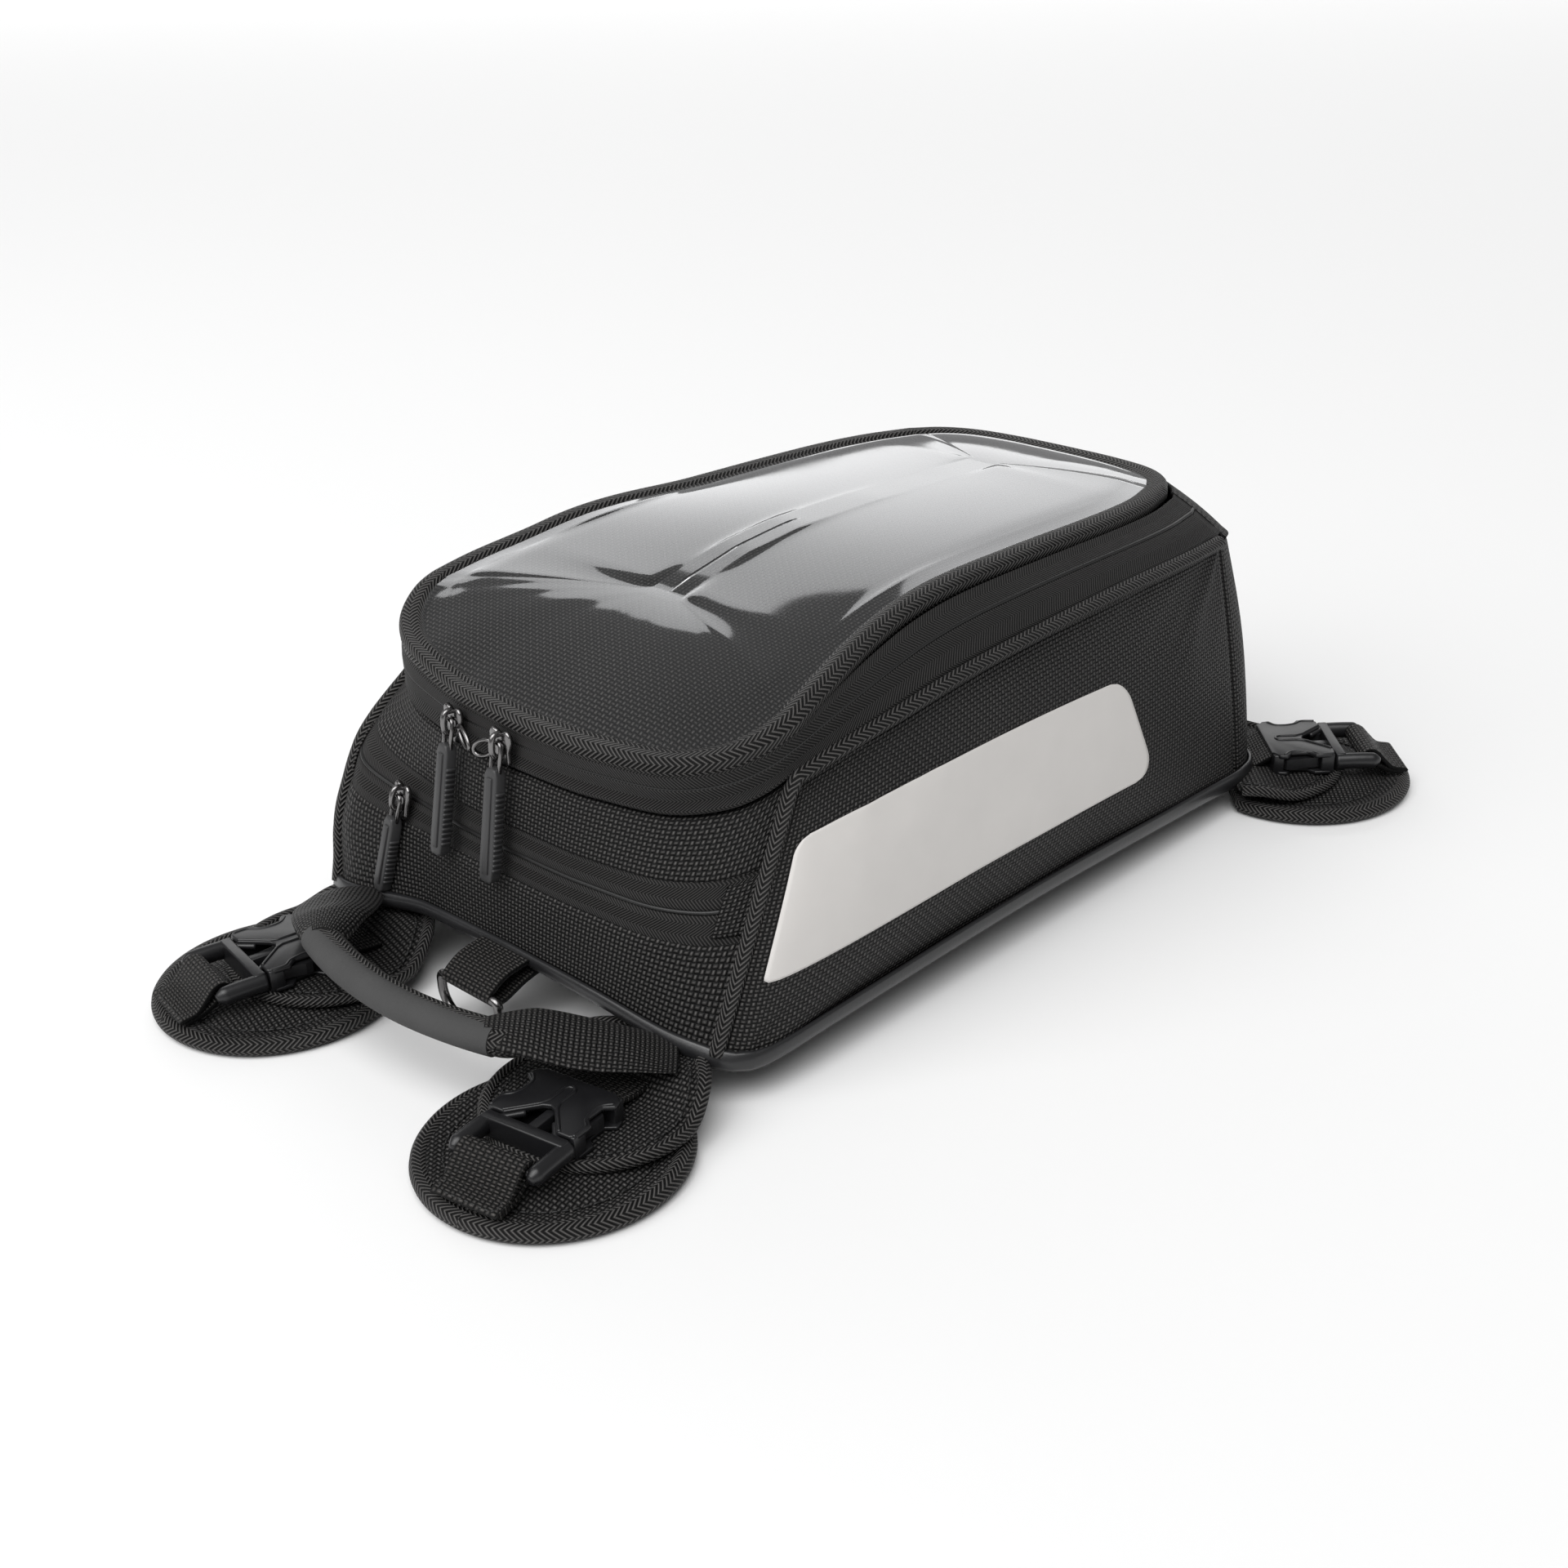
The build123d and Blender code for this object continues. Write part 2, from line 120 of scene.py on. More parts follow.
def weave(pitch_u, pitch_v, lean):
    """A plain or basket weave of pitches in mm. lean makes its floats oval."""
    def height(look, u, v):
        cells = look.maths("DIVIDE", u, pitch_u), look.maths("DIVIDE", v, pitch_v)
        odd = look.maths("PINGPONG", look.maths("ADD", *[look.maths("FLOOR", cell) for cell in cells]), 1.0)
        crown_u, crown_v = [look.maths("SINE", look.maths("MULTIPLY", look.maths("FRACT", cell), pi))
                            for cell in cells]
        warp = look.maths("MULTIPLY", look.maths("POWER", crown_u, lean), look.maths("SQRT", crown_v))
        weft = look.maths("MULTIPLY", look.maths("POWER", crown_v, lean), look.maths("SQRT", crown_u))
        step = look.maths("SUBTRACT", look.maths("MULTIPLY", weft, WEFT_SHARE), warp)
        return look.maths("ADD", warp, look.maths("MULTIPLY", step, odd))
    return height


def herringbone(pitch, band_width):
    """Slanted yarns that turn at every band across v."""
    def height(look, u, v):
        fold = look.maths("PINGPONG", v, band_width)
        slant = look.maths("ADD", u, look.maths("MULTIPLY", fold, HERRINGBONE_SLANT))
        wave = look.maths("SINE", look.maths("MULTIPLY", slant, 2 * pi / pitch))
        return look.maths("MULTIPLY", look.maths("ADD", wave, 1.0), 0.5)
    return height


def cloth_material(name, dark, light, height_of, bump_mm, roughness, sheen):
    """Woven cloth: bump and colour from one height, the colour being painted highlight on the yarn crowns and
    painted shade in the gaps between them, with slow random variation of tone.
    """
    look = Shading(name)
    height = height_of(look, *look.cloth_axes())
    blotch, fibre = look.noise(14.0, 6.0), look.noise(2600.0, 2.0)
    # Painted light: the higher a yarn's crown, the more of the light colour it gets as a painted highlight;
    # the gaps keep the dark colour as painted shade.
    painted_crown_highlight = look.maths("POWER", height, 1.7)
    look.colour(dark, light, look.maths("MULTIPLY", painted_crown_highlight, look.maths("ADD", blotch, 0.5)))
    look.bump(look.maths("ADD", height, look.maths("MULTIPLY", fibre, 0.25)), bump_mm)
    look.shader["Roughness"].default_value = roughness
    look.shader["Sheen Weight"].default_value = sheen
    look.shader["Sheen Roughness"].default_value = 0.45
    look.shader["Sheen Tint"].default_value = (0.55, 0.55, 0.58, 1)
    look.shader["Specular IOR Level"].default_value = 0.16
    return look.material


def solid_material(name, colour, roughness, metallic=0.0, coat=0.0, grain=0.0, grain_scale=900.0, vary=0.25):
    """Moulded, rubber or plated surface with fine grain and slow variation of shade."""
    look = Shading(name)
    blotch = look.noise(60.0, 5.0)
    look.colour([c * (1 - vary) for c in colour], [c * (1 + vary) for c in colour], blotch)
    uneven = look.maths("ADD", look.maths("MULTIPLY", blotch, 0.16), roughness - 0.08)
    look.links.new(uneven, look.shader["Roughness"])
    if grain:
        look.bump(look.noise(grain_scale, 3.0), grain)
    look.shader["Metallic"].default_value = metallic
    look.shader["Coat Weight"].default_value = coat
    return look.material


def vinyl_material():
    """Clear vinyl sheet: it mirrors by Fresnel, and lets the rest through, with fine scuffs."""
    look = Shading("clear_vinyl_look")
    look.links.new(look.maths("MULTIPLY_ADD", look.noise(35.0, 8.0), 0.08, 0.02), look.shader["Roughness"])
    fresnel = look.nodes.new("ShaderNodeFresnel")
    fresnel.inputs["IOR"].default_value = 1.5
    share = look.maths("MULTIPLY_ADD", fresnel.outputs[0], 1.9, 0.012)
    look.links.new(look.maths("MINIMUM", share, 0.92), look.shader["Alpha"])
    look.shader["Base Color"].default_value = (0.95, 0.955, 0.97, 1)
    look.shader["Metallic"].default_value = 1.0
    return look.material


# In each cloth the first colour is the painted shade in the gaps of the weave and the second the painted
# highlight on its yarn crowns.
LOOK = {
    "ballistic_fabric": cloth_material("ballistic_look", (0.0010, 0.0010, 0.0011), (0.105, 0.101, 0.098),
                                       weave(1.7, 1.45, 1.7), 0.75, 0.50, 0.02),
    "webbing": cloth_material("webbing_look", (0.001, 0.001, 0.001), (0.085, 0.080, 0.076),
                              weave(1.15, 2.0, 1.6), 0.70, 0.48, 0.02),
    "lining_fabric": cloth_material("lining_look", (0.020, 0.020, 0.022), (0.06, 0.06, 0.065),
                                    weave(0.5, 0.5, 1.0), 0.08, 0.7, 0.1),
    "zip_tape": cloth_material("tape_look", (0.005, 0.005, 0.005), (0.046, 0.044, 0.043),
                               herringbone(1.25, 3.4), 0.26, 0.62, 0.02),
    "piping_braid": cloth_material("braid_look", (0.0010, 0.0010, 0.0011), (0.105, 0.101, 0.098),
                                   herringbone(2.0, 2.6), 0.75, 0.48, 0.02),
    "rubberised_base": solid_material("base_look", (0.012, 0.012, 0.013), 0.36, coat=0.15, grain=0.05),
    "reflective_film": solid_material("film_look", (0.64, 0.62, 0.60), 0.46, grain=0.015, grain_scale=2500.0,
                                      vary=0.05),
    "clear_vinyl": vinyl_material(),
    "black_nickel": solid_material("nickel_look", (0.20, 0.195, 0.195), 0.22, metallic=1.0, grain=0.01),
    "pull_rubber": solid_material("rubber_look", (0.034, 0.034, 0.035), 0.46, grain=0.04),
    "buckle_plastic": solid_material("plastic_look", (0.010, 0.010, 0.011), 0.34, grain=0.03,
                                     grain_scale=500.0),
    "magnet_steel": solid_material("magnet_look", (0.45, 0.45, 0.46), 0.3, metallic=1.0),
    "board": solid_material("board_look", (0.03, 0.03, 0.03), 0.6, grain=0.03),
    "foam_core": solid_material("core_look", (0.05, 0.05, 0.05), 0.9, grain=0.2),
}
THREAD = solid_material("thread_look", (0.012, 0.012, 0.012), 0.6, grain=0.05)
COIL = solid_material("coil_look", (0.006, 0.006, 0.006), 0.45)


# ---------------------------------------------------------------- mesh helpers

def link(mesh_name, mesh):
    piece = bpy.data.objects.new(mesh_name, mesh)
    bpy.context.collection.objects.link(piece)
    return piece


def sheet_mesh(name, rows, wrap=False, layout=None):
    """A quad sheet from rows of points (mm). layout(i, j) gives a point's place on the flat cloth."""
    width = len(rows[0])
    spots = layout or grid_layout(rows)
    faces, places = [], []
    for i in range(len(rows) - 1):
        for j in range(width if wrap else width - 1):
            corners = ((i, j), (i, j + 1), (i + 1, j + 1), (i + 1, j))
            faces.append([r * width + c % width for r, c in corners])
            for r, c in corners:
                places += spots(r, c)
    mesh = bpy.data.meshes.new(name)
    mesh.from_pydata([tuple(c * MM for c in p) for row in rows for p in row], [], faces)
    mesh.uv_layers.new(name="cloth").data.foreach_set("uv", places)
    mesh.shade_smooth()
    return mesh


def lengths_of(points):
    """Distance of each point along a line of points."""
    total = [0.0]
    for a, b in zip(points, points[1:]):
        total.append(total[-1] + (Vector(b) - Vector(a)).length)
    return total


def grid_layout(rows):
    """Columns by their distance along the middle row, rows by theirs up the middle column."""
    middle = rows[len(rows) // 2]
    along = lengths_of([*middle, middle[0]])
    down = lengths_of([row[len(row) // 2] for row in rows])
    return lambda i, j: (along[j], down[i])


def tube_layout(rows):
    """Along the tube first, then round it."""
    along = lengths_of([row[0] for row in rows])
    middle = rows[len(rows) // 2]
    around = lengths_of([*middle, middle[0]])
    return lambda i, j: (along[i], around[j])


def closed_form(name, rows):
    """A solid from rows of points round it."""
    return close_ends(link(name, sheet_mesh(name, rows, True, tube_layout(rows))))


def plan_sheet(name, rows):
    """A sheet round the bag's middle, laid out by its plan."""
    return link(name, sheet_mesh(name, rows, True, plan_layout(rows)))


def plan_layout(rows):
    """A flat sheet: its own x and y."""
    return lambda i, j: (rows[i][j % len(rows[i])][0], rows[i][j % len(rows[i])][1])


def apply_modifiers(piece):
    """The piece's modifiers made part of its mesh."""
    graph = bpy.context.evaluated_depsgraph_get()
    mesh = bpy.data.meshes.new_from_object(piece.evaluated_get(graph))
    piece.modifiers.clear()
    piece.data = mesh
    return piece


def thicken(piece, thickness, offset=-1.0):
    """Give a sheet its thickness (mm), inwards of its face by default."""
    modifier = piece.modifiers.new("thickness", "SOLIDIFY")
    modifier.thickness = thickness * MM
    modifier.offset = offset
    modifier.use_rim = True
    return apply_modifiers(piece)


def bevelled(piece, width, segments=3):
    modifier = piece.modifiers.new("edges", "BEVEL")
    modifier.width = width * MM
    modifier.segments = segments
    modifier.limit_method = "ANGLE"
    modifier.angle_limit = radians(35)
    apply_modifiers(piece)
    piece.data.shade_smooth()
    return piece


def dress(piece, slot, body, nodes=(), material=None):
    """Material, picked by its slot unless one is given, body, and the CAD nodes that a piece stands for,
    which are hidden.
    """
    piece.data.materials.clear()
    piece.data.materials.append(material or LOOK[slot])
    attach(piece, body)
    if nodes:
        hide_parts(*nodes)
    return piece


def catmull(points, samples):
    """Points evenly spaced along a smooth line through the given points."""
    vectors = [Vector(p) for p in points]
    ends = [2 * vectors[0] - vectors[1]] + vectors + [2 * vectors[-1] - vectors[-2]]
    fine = []
    for i in range(1, len(ends) - 2):
        for step in range(12):
            fine.append(spline_point(ends[i - 1:i + 3], step / 12))
    fine.append(vectors[-1])
    return evenly(fine, samples)


def spline_point(p, t):
    a = 2 * p[1]
    b = p[2] - p[0]
    c = 2 * p[0] - 5 * p[1] + 4 * p[2] - p[3]
    d = 3 * p[1] - p[0] - 3 * p[2] + p[3]
    return 0.5 * (a + b * t + c * t * t + d * t * t * t)


def evenly(line, samples):
    """The line resampled at equal distances."""
    lengths = [0.0]
    for a, b in zip(line, line[1:]):
        lengths.append(lengths[-1] + (b - a).length)
    result, at = [], 0
    for step in range(samples + 1):
        goal = lengths[-1] * step / samples
        while at < len(line) - 2 and lengths[at + 1] < goal:
            at += 1
        part = (goal - lengths[at]) / max(lengths[at + 1] - lengths[at], 1e-9)
        result.append(line[at].lerp(line[at + 1], min(max(part, 0), 1)))
    return result


def tube_rows(path, radius, sides=16, closed=False, flatten=1.0, up=Vector((0, 0, 1))):
    """Rows of points round a path; flatten < 1 presses the tube along its own up direction."""
    rows = []
    count = len(path)
    for i, point in enumerate(path):
        before = path[i - 1] if i or closed else path[i]
        after = path[(i + 1) % count] if i < count - 1 or closed else path[i]
        ahead = (after - before).normalized()
        side = ahead.cross(up).normalized()
        top = side.cross(ahead).normalized()
        r = radius(i / (count - 1)) if callable(radius) else radius
        ring = []
        for angle in circle(sides):
            ring.append(point + side * (r * cos(angle)) + top * (r * flatten * sin(angle)))
        rows.append(ring)
    if closed:
        rows.append(rows[0])
    return rows


def tube(name, path, radius, sides=16, flatten=1.0, up=Vector((0, 0, 1)), closed=False):
    rows = tube_rows(path, radius, sides, closed, flatten, up)
    return closed_form(name, rows)


def close_ends(piece):
    """Weld the seam of a tube and close its two ends."""
    work = bmesh.new()
    work.from_mesh(piece.data)
    bmesh.ops.remove_doubles(work, verts=work.verts, dist=1e-7)
    bmesh.ops.holes_fill(work, edges=[e for e in work.edges if e.is_boundary], sides=0)
    bmesh.ops.recalc_face_normals(work, faces=work.faces)
    work.to_mesh(piece.data)
    work.free()
    piece.data.shade_smooth()
    return piece


def close_centre(piece, columns, smoothed=0, passes=0):
    """Close the slit in the middle of a sheet whose first row runs round it, and even out its height."""
    work = bmesh.new()
    work.from_mesh(piece.data)
    work.verts.ensure_lookup_table()
    first = set(work.verts[:columns])
    slit = [edge for edge in work.edges if edge.verts[0] in first and edge.verts[1] in first]
    filled = bmesh.ops.holes_fill(work, edges=slit, sides=0)
    bmesh.ops.triangulate(work, faces=filled["faces"])
    work.verts.ensure_lookup_table()
    for _ in range(passes):
        bmesh.ops.smooth_vert(work, verts=work.verts[columns * CENTRE_ROWS:smoothed],
                              factor=0.5, use_axis_z=True)
    work.to_mesh(piece.data)
    work.free()
    piece.data.shade_smooth()


def coat_node(name, slot):
    """A CAD node that keeps its own shape, in a better material."""
    node = frame["nodes"][name]
    node.data.materials.clear()
    node.data.materials.append(LOOK[slot])


def joined(name, pieces):
    """Several meshes made one piece."""
    work = bmesh.new()
    for piece in pieces:
        work.from_mesh(piece.data)
        bpy.data.objects.remove(piece)
    mesh = bpy.data.meshes.new(name)
    work.to_mesh(mesh)
    work.free()
    mesh.shade_smooth()
    return link(name, mesh)


# ---------------------------------------------------------------- the body's form
# Rings round the bag at three levels, right half, (x, distance behind the front, z):
# the front, the side and the rear of each meet at the corners.

BASE_RING = (
    [(0, 0, 24), (40, 0.5, 22.5), (70, 2.5, 18.5), (87, 7, 15.5)],
    [(87, 7, 15.5), (93, 13, 14), (95.5, 24, 13.5), (96.3, 60, 15), (96.5, 150, 16.5), (96, 240, 14),
     (95.5, 280, 12)],
    [(95.5, 280, 12), (92.5, 292, 12), (84, 299, 12.5), (60, 301, 15), (0, 301.5, 20)],
)
SHOULDER_RING = (
    [(0, 10.4, 84), (20, 11.0, 84), (35, 12.6, 84.2), (60, 18, 85), (75, 28, 87.5), (81.5, 38, 91),
     (84.5, 48, 95.5)],
    [(84.5, 48, 95.5), (88, 64, 100.5), (90.3, 85, 104.5), (91, 115, 108.5), (91, 150, 110.5),
     (90.3, 200, 111.5), (88.5, 245, 110.5), (84.5, 274, 109)],
    [(84.5, 274, 109), (78, 287, 108), (66, 294.5, 107), (48, 298, 105.5), (0, 298.5, 105)],
)
RIM_RING = (
    [(0, 11, 101.5), (20, 11.5, 101.6), (35, 13, 101.8), (60, 17.5, 103), (75, 27, 105.5), (82, 39, 109),
     (84, 50, 112.5)],
    [(84, 50, 112.5), (81.5, 68, 118), (78, 88, 123), (75.3, 110, 127), (73.8, 135, 128.7), (73, 175, 128),
     (72, 220, 126.3), (69, 248, 125), (62.5, 270, 124)],
    [(62.5, 270, 124), (54, 281.5, 123.4), (41, 289.5, 122.8), (22, 293, 122.5), (0, 293.5, 122.5)],
)
RING_STEPS = 90
PANEL_SEED = 21
CLOTH_FRAMES = 16
REAR_SEAM = 2.06          # where the zip ends and the fabric fold of the lid starts, on the rear corner
DIVIDER_DEPTH = 27        # from the front of the bag to the wall behind the front pocket
WINDOW_COLUMNS = 300
CENTRE_ROWS = 10          # rows round the middle of a sheet that are not evened out
POCKET_LOW, POCKET_COIL, POCKET_HIGH = 0.43, 0.555, 0.68      # shares of the front wall's height


def ring(segments):
    return [catmull([(x, FRONT + d, z) for x, d, z in points], RING_STEPS) for points in segments]


RINGS = {"base": ring(BASE_RING), "shoulder": ring(SHOULDER_RING), "rim": ring(RIM_RING)}


def on_ring(name, a):
    """A point of a ring: a is 0 at the front, 1 and 2 at the corners, 3 at the rear, negative on the left."""
    if abs(a) > 3:
        a -= 6 * (1 if a > 0 else -1)
    segment = min(int(abs(a)), 2)
    place = (abs(a) - segment) * RING_STEPS
    step = min(int(place), RING_STEPS - 1)
    line = RINGS[name][segment]
    point = line[step].lerp(line[step + 1], place - step)
    return Vector((-point.x if a < 0 else point.x, point.y, point.z))


def outward(name, a):
    """Level direction away from the bag at a ring's point."""
    ahead = on_ring(name, a + 0.02) - on_ring(name, a - 0.02)
    return Vector((ahead.y, -ahead.x, 0)).normalized()


def ease(value):
    value = min(max(value, 0), 1)
    return value * value * (3 - 2 * value)


def slump(a, level):
    """The stuffed left front corner bulges forwards. level is 0 to 1 up the wall and 2 at the rim."""
    if a > -0.5 or a < -1.7:
        return Vector((0, 0, 0))
    share = ease((-a - 0.5) / 0.45) if a > -1 else 1 - ease((-a - 1) / 0.6)
    if level <= 1:
        low = 0.72 + 0.28 * ease(level / 0.3)
        return (Vector((-9.3, -13.2, 0)) * low * (1 - 0.68 * ease((level - 0.5) * 2))
                + Vector((0, 0, 6.0 * sin(pi * level)))) * share
    return Vector((-2.98, -4.22, 0)).lerp(Vector((-3.5, -2, 0)), min(level - 1, 1)) * share


def rim_lift(a):
    """The front edge of the lid stands a little higher on the left (mm)."""
    stations = [(-1.5, 0), (-1.2, 3.5), (-0.95, 7.0), (-0.6, 4.5), (-0.3, 1.5), (0.1, 0)]
    for (a0, z0), (a1, z1) in zip(stations, stations[1:]):
        if a0 <= a <= a1:
            return z0 + (z1 - z0) * ease((a - a0) / (a1 - a0))
    return 0.0


def wall_point(a, t, out=0.0):
    """The padded wall: t is 0 at the base and 1 at the shoulder."""
    swell = (4.0 if 1 < abs(a) < 2 else 1.6 if abs(a) <= 1 else 3.0) * sin(pi * min(max(t, 0), 1)) ** 0.9
    near_corner = min(abs(abs(a) - 1), abs(abs(a) - 2), 1) if abs(a) < 2.5 else 1
    swell *= 0.45 + 0.55 * min(near_corner / 0.15, 1)
    point = on_ring("base", a).lerp(on_ring("shoulder", a), t)
    return point + outward("base", a) * (swell + out) + slump(a, min(max(t, 0), 1))


def band_point(a, s, out=0.0):
    """The zip band: s is 0 at the shoulder and 1 at the lid's rim."""
    swell = 1.2 * sin(pi * min(max(s, 0), 1)) * min(abs(a) / 0.6, 1)
    point = on_ring("shoulder", a).lerp(on_ring("rim", a), s)
    shift = slump(a, 1 + min(max(s, 0), 1)) + Vector((0, 0, rim_lift(a) * min(max(s, 0), 1.2)))
    return point + outward("shoulder", a) * (swell + out) + shift


def rim_point(a):
    return on_ring("rim", a) + slump(a, 2) + Vector((0, 0, rim_lift(a)))


def spread(start, end, count):
    return [start + (end - start) * k / count for k in range(count + 1)]


def whole_turn(count):
    """Stations all round the bag, the first not repeated."""
    return spread(-3, 3, count)[:-1]


def circle(count):
    """Angles all round a circle."""
    return [2 * pi * k / count for k in range(count)]


def edge_fall(distance, reach, depth):
    """How far a padded edge turns in, at a distance from its seam."""
    if distance >= reach:
        return 0.0
    share = 1 - distance / reach
    return depth * (1 - sqrt(max(1 - share * share, 0)))


def quilted(point_of, columns, rows, width, height, reach=4.0, depth=1.8, sides=(1, 1, 1, 1)):
    """A panel's grid with its edges turned in. sides: left, right, bottom, top."""
    grid = []
    for v in rows:
        line = []
        for u in columns:
            along = (u - columns[0]) / (columns[-1] - columns[0])
            up = (v - rows[0]) / (rows[-1] - rows[0])
            gaps = (along * width, (1 - along) * width, up * height, (1 - up) * height)
            fall = max(edge_fall(gap, reach, depth) for gap, used in zip(gaps, sides) if used)
            line.append(point_of(u, v, -fall))
        grid.append(line)
    return grid


def wrinkle(point, scale, depth, seed):
    """A small smooth shift that stands for uneven padding, in mm."""
    spot = Vector((point[0] * scale + seed, point[1] * scale, point[2] * scale))
    return noise.noise(spot) * depth


def puffed(piece, border, pressure, cap):
    """Blow a padded panel out by cloth simulation, held at its seams; no point moves over cap
    (mm)."""
    held = piece.vertex_groups.new(name="seams")
    held.add(border, 1.0, "REPLACE")
    start = [v.co.copy() for v in piece.data.vertices]
    cloth = piece.modifiers.new("cloth", "CLOTH")
    settings = cloth.settings
    settings.vertex_group_mass = "seams"
    settings.use_pressure = True
    settings.uniform_pressure_force = pressure
    settings.effector_weights.gravity = 0
    settings.tension_stiffness = settings.compression_stiffness = 25
    settings.bending_stiffness = 2.0
    settings.quality = 6
    cloth.collision_settings.use_collision = False
    cloth.point_cache.frame_start, cloth.point_cache.frame_end = 1, CLOTH_FRAMES
    for number in range(1, CLOTH_FRAMES + 1):
        bpy.context.scene.frame_set(number)
    apply_modifiers(piece)
    bpy.context.scene.frame_set(1)
    for vertex, before in zip(piece.data.vertices, start):
        move = vertex.co - before
        if move.length > cap * MM:
            vertex.co = before + move * (cap * MM / move.length)
    piece.vertex_groups.clear()
    return piece


def border_of(rows):
    """Numbers of the points on the edge of a grid."""
    height, width = len(rows), len(rows[0])
    return [i * width + j for i in range(height) for j in range(width)
            if i in (0, height - 1) or j in (0, width - 1)]


SURFACE = {}              # each wall panel's outer face after simulation, for what is sewn on it


def wall_panel(name, a_range, t_range, columns, rows, width, height, slot, body, nodes, cap=2.5, **edges):
    def point_of(a, t, out):
        base = wall_point(a, t, out)
        return base + outward("base", a) * wrinkle(base, 0.022, 0.9, PANEL_SEED)
    grid = quilted(point_of, spread(*a_range, columns), spread(*t_range, rows), width, height, **edges)
    sheet = puffed(link(name, sheet_mesh(name, grid)), border_of(grid), 3.0, cap)
    SURFACE[name] = (a_range, t_range, columns, rows, [v.co / MM for v in sheet.data.vertices])
    piece = dress(thicken(sheet, 2.2), slot, body, nodes)
    return piece


def on_panel(name, a, t):
    """The point of a finished wall panel at a and t, between the points of its grid."""
    (a0, a1), (t0, t1), columns, rows, points = SURFACE[name]
    x, y = (a - a0) / (a1 - a0) * columns, (t - t0) / (t1 - t0) * rows
    j, i = min(int(x), columns - 1), min(int(y), rows - 1)
    low = points[i * (columns + 1) + j].lerp(points[i * (columns + 1) + j + 1], x - j)
    high = points[(i + 1) * (columns + 1) + j].lerp(points[(i + 1) * (columns + 1) + j + 1], x - j)
    return low.lerp(high, y - i)


# ---------------------------------------------------------------- the bag's body

def walls():
    for side, label in ((1, "right"), (-1, "left")):
        span = (1, 2) if side > 0 else (-2, -1)
        wall_panel(f"side_panel_{label}_look", span, (0, 1), 150, 54, 285, 95, "ballistic_fabric", "bag",
                   [f"side_panel_{label}"])
    wall_panel("rear_panel_look", (2, 4), (0, 1), 110, 50, 190, 92, "ballistic_fabric", "bag", ["rear_panel"])
    wall_panel("front_pocket_panel_look", (-1, 1), (0, POCKET_LOW), 120, 26, 185, 30, "ballistic_fabric",
               "bag", ["front_pocket_panel"], cap=0.9)
    wall_panel("front_upper_panel_look", (-1, 1), (POCKET_HIGH, 1), 120, 18, 170, 20, "ballistic_fabric",
               "bag", ["front_upper_panel"], cap=0.7, reach=2.5, depth=1.4)


def pocket_zip():
    """Two tapes set back behind the panels, a fine coil line between them, and a fabric end each side."""
    parts = []
    for low, high in ((POCKET_LOW - 0.03, POCKET_COIL - 0.003), (POCKET_COIL + 0.003, POCKET_HIGH + 0.03)):
        grid = quilted(lambda a, t, out: wall_point(a, t, out - 0.9), spread(-0.99, 0.985, 120),
                       spread(low, high, 8), 170, 10, 1.2, 0.5)
        parts.append(thicken(link("tape", sheet_mesh("tape", grid)), 0.8))
    tapes = joined("pocket_zip_look", parts)
    dress(tapes, "zip_tape", "bag", ["pocket_zip"])
    coil = [wall_point(a, POCKET_COIL, -1.5) for a in spread(-0.98, 0.86, 160)]
    dress(tube("pocket_zip_coil", coil, 0.8, 8), "zip_tape", "bag", material=COIL)
    for side, a in ((1, 0.92), (-1, -0.965)):
        half_width = 0.06 if side > 0 else 0.03
        grid = quilted(lambda u, t, out: wall_point(u, t, out + 0.5),
                       spread(a - half_width, a + half_width, 16),
                       spread(POCKET_LOW + 0.02, POCKET_HIGH - 0.02, 16), 13, 15, 2.0, 0.8)
        tab = thicken(link(f"pocket_zip_end_{'right' if side > 0 else 'left'}", sheet_mesh("tab", grid)), 1.2)
        dress(tab, "ballistic_fabric", "bag")


def lid_zip():
    """The band between body and lid: lower tape on the bag, upper tape on the lid."""
    for name, span, body in (("lid_zip_lower_half", (0.0, 0.52), "bag"),
                             ("lid_zip_upper_half", (0.545, 0.86), "lid")):
        lower = body == "bag"
        grid = []
        for s in spread(*span, 12):
            row = []
            for a in spread(-REAR_SEAM, REAR_SEAM, 420):
                roll = 1.3 * exp(-((s - span[0]) * 17 / 2.5) ** 2) if lower else 0
                tuck = -1.2 * exp(-((s - span[0]) * 17 / 0.8) ** 2) if lower else 0
                row.append(band_point(a, s, roll + 2.2 * tuck))
            grid.append(row)
        piece = thicken(link(f"{name}_look", sheet_mesh(name, grid)), 1.0)
        dress(piece, "zip_tape", body, [name])
    coil = [band_point(a, 0.532, -0.7) for a in spread(-REAR_SEAM, REAR_SEAM, 420)]
    dress(tube("lid_zip_coil", coil, 0.75, 8), "zip_tape", "bag", material=COIL)


def hinge_strip():
    """Fabric at the rear, between the ends of the lid's zip."""
    stations = spread(REAR_SEAM, 6 - REAR_SEAM, 90)
    grid = [[band_point(a, s, 0.4) for a in stations] for s in spread(-0.06, 0.9, 14)]
    piece = thicken(link("lid_fold_strip", sheet_mesh("lid_fold_strip", grid)), 1.4)
    piece.data.materials.append(LOOK["ballistic_fabric"])
    rear = on_ring("shoulder", 3)
    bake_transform(piece)


